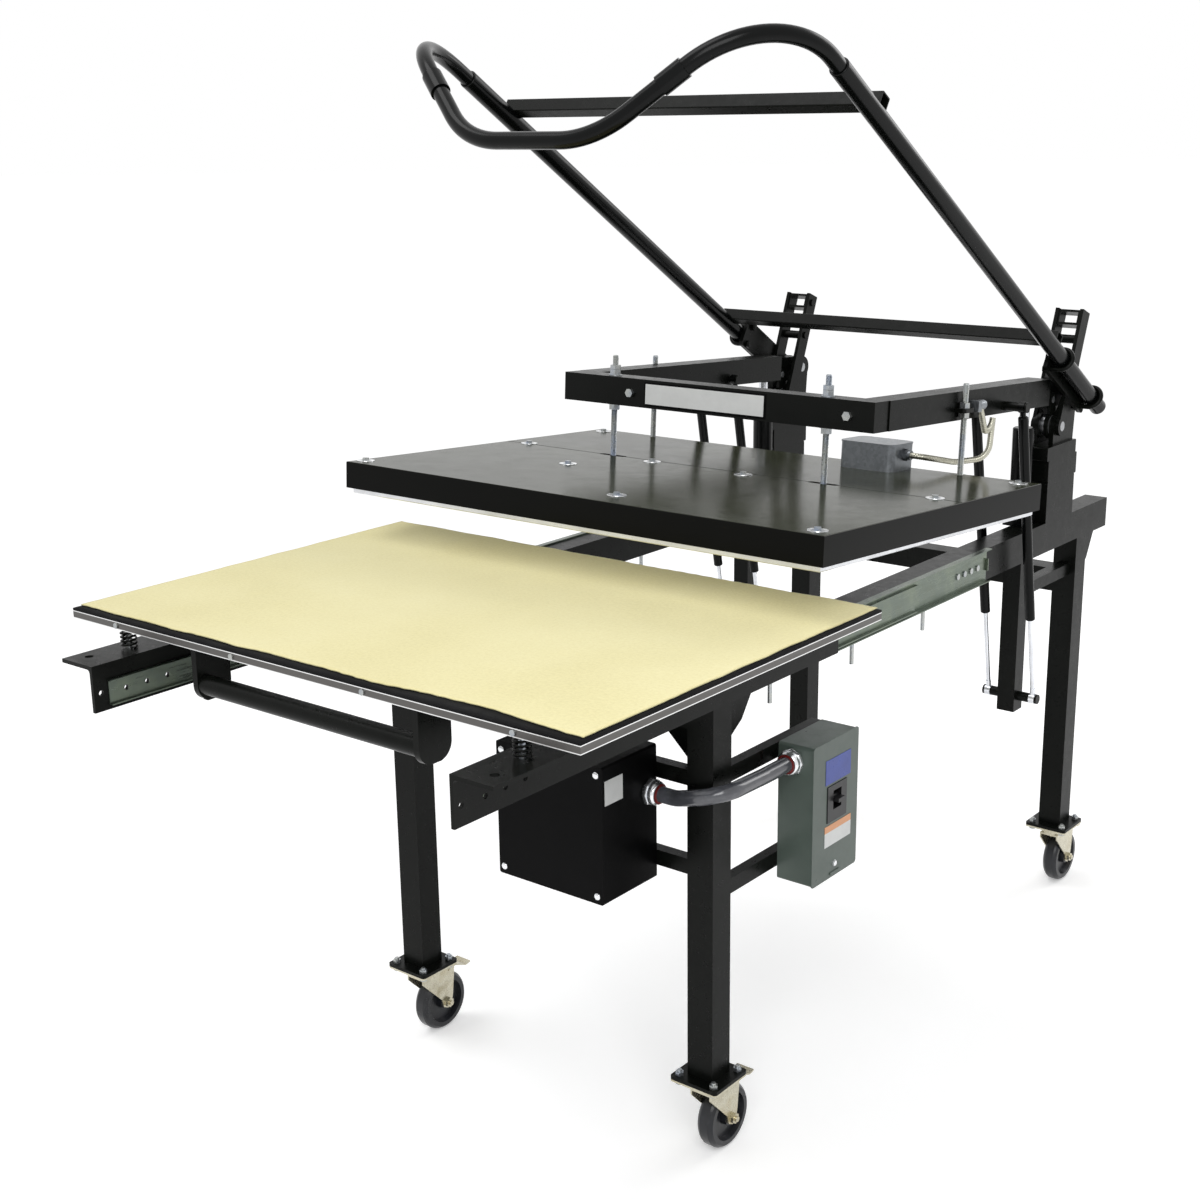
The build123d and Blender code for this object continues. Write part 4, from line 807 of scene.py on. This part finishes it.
def floor_material():
    """Pale floor that the camera sees as white, with the object's shadow on it."""
    material, tree, shader = new_material("pale_floor")
    cloud = noise_node(tree, coordinates(tree), 0.8, 3.0)
    stops = [(0.3, (0.79, 0.79, 0.79)), (0.7, (0.81, 0.81, 0.81))]
    link(tree, colour_ramp(tree, cloud, stops), shader.inputs["Base Color"])
    shader.inputs["Roughness"].default_value = 0.9
    shader.inputs["Specular IOR Level"].default_value = 0.1
    white = tree.nodes.new("ShaderNodeBsdfDiffuse")
    white.inputs["Color"].default_value = (1, 1, 1, 1)
    lift = tree.nodes.new("ShaderNodeEmission")
    lift.inputs["Strength"].default_value = FLOOR_LIFT
    seen = tree.nodes.new("ShaderNodeAddShader")
    link(tree, white.outputs["BSDF"], seen.inputs[0])
    link(tree, lift.outputs["Emission"], seen.inputs[1])
    mix = tree.nodes.new("ShaderNodeMixShader")
    link(tree, background_ray(tree), mix.inputs["Fac"])
    link(tree, shader.outputs["BSDF"], mix.inputs[1])
    link(tree, seen.outputs["Shader"], mix.inputs[2])
    link(tree, mix.outputs["Shader"], tree.nodes["Material Output"].inputs["Surface"])
    return material


def make_floor():
    half = FLOOR_HALF
    mesh = bpy.data.meshes.new("floor")
    mesh.from_pydata([(-half, -half, 0), (half, -half, 0), (half, half, 0), (-half, half, 0)],
                     [], [(0, 1, 2, 3)])
    mesh.materials.append(floor_material())
    floor = bpy.data.objects.new("floor", mesh)
    bpy.context.scene.collection.objects.link(floor)


def make_world():
    """White where the camera looks past the floor, and an even dimmer light on the object."""
    world = bpy.data.worlds.new("studio")
    world.use_nodes = True
    tree = world.node_tree
    tree.nodes.clear()
    mix = tree.nodes.new("ShaderNodeMixShader")
    link(tree, background_ray(tree), mix.inputs["Fac"])
    for socket, strength in ((1, WORLD_LIGHT), (2, 1.0)):
        light = tree.nodes.new("ShaderNodeBackground")
        light.inputs["Color"].default_value = (1, 1, 1, 1)
        light.inputs["Strength"].default_value = strength
        link(tree, light.outputs["Background"], mix.inputs[socket])
    out = tree.nodes.new("ShaderNodeOutputWorld")
    link(tree, mix.outputs["Shader"], out.inputs["Surface"])
    bpy.context.scene.world = world


def add_lamp(name, data, at, direction):
    lamp = bpy.data.objects.new(name, data)
    turn = direction.to_track_quat("-Z", "Y").to_matrix().to_4x4()
    lamp.matrix_world = Matrix.Translation(at) @ turn
    bpy.context.scene.collection.objects.link(lamp)


def area_light(name, at, to, size, power):
    data = bpy.data.lights.new(name, "AREA")
    data.shape = "SQUARE"
    data.size = size
    data.energy = power
    add_lamp(name, data, at, Vector(to) - Vector(at))


def sun_light(name, at, direction, power, width):
    data = bpy.data.lights.new(name, "SUN")
    data.energy = power
    data.angle = width
    add_lamp(name, data, at, Vector(direction))


make_floor()
make_world()
sun_light("sun", at=(-3, -3, 6), direction=(0.42, 0.30, -1.0), power=1.05, width=radians(38))
area_light("key", at=(2.2, -2.9, 3.2), to=(0, 0, 0.8), size=2.2, power=72.0)
area_light("rear", at=(1.2, 3.6, 3.2), to=(0, 0, 1.0), size=2.4, power=50.0)
bpy.context.scene.view_settings.view_transform = "Standard"
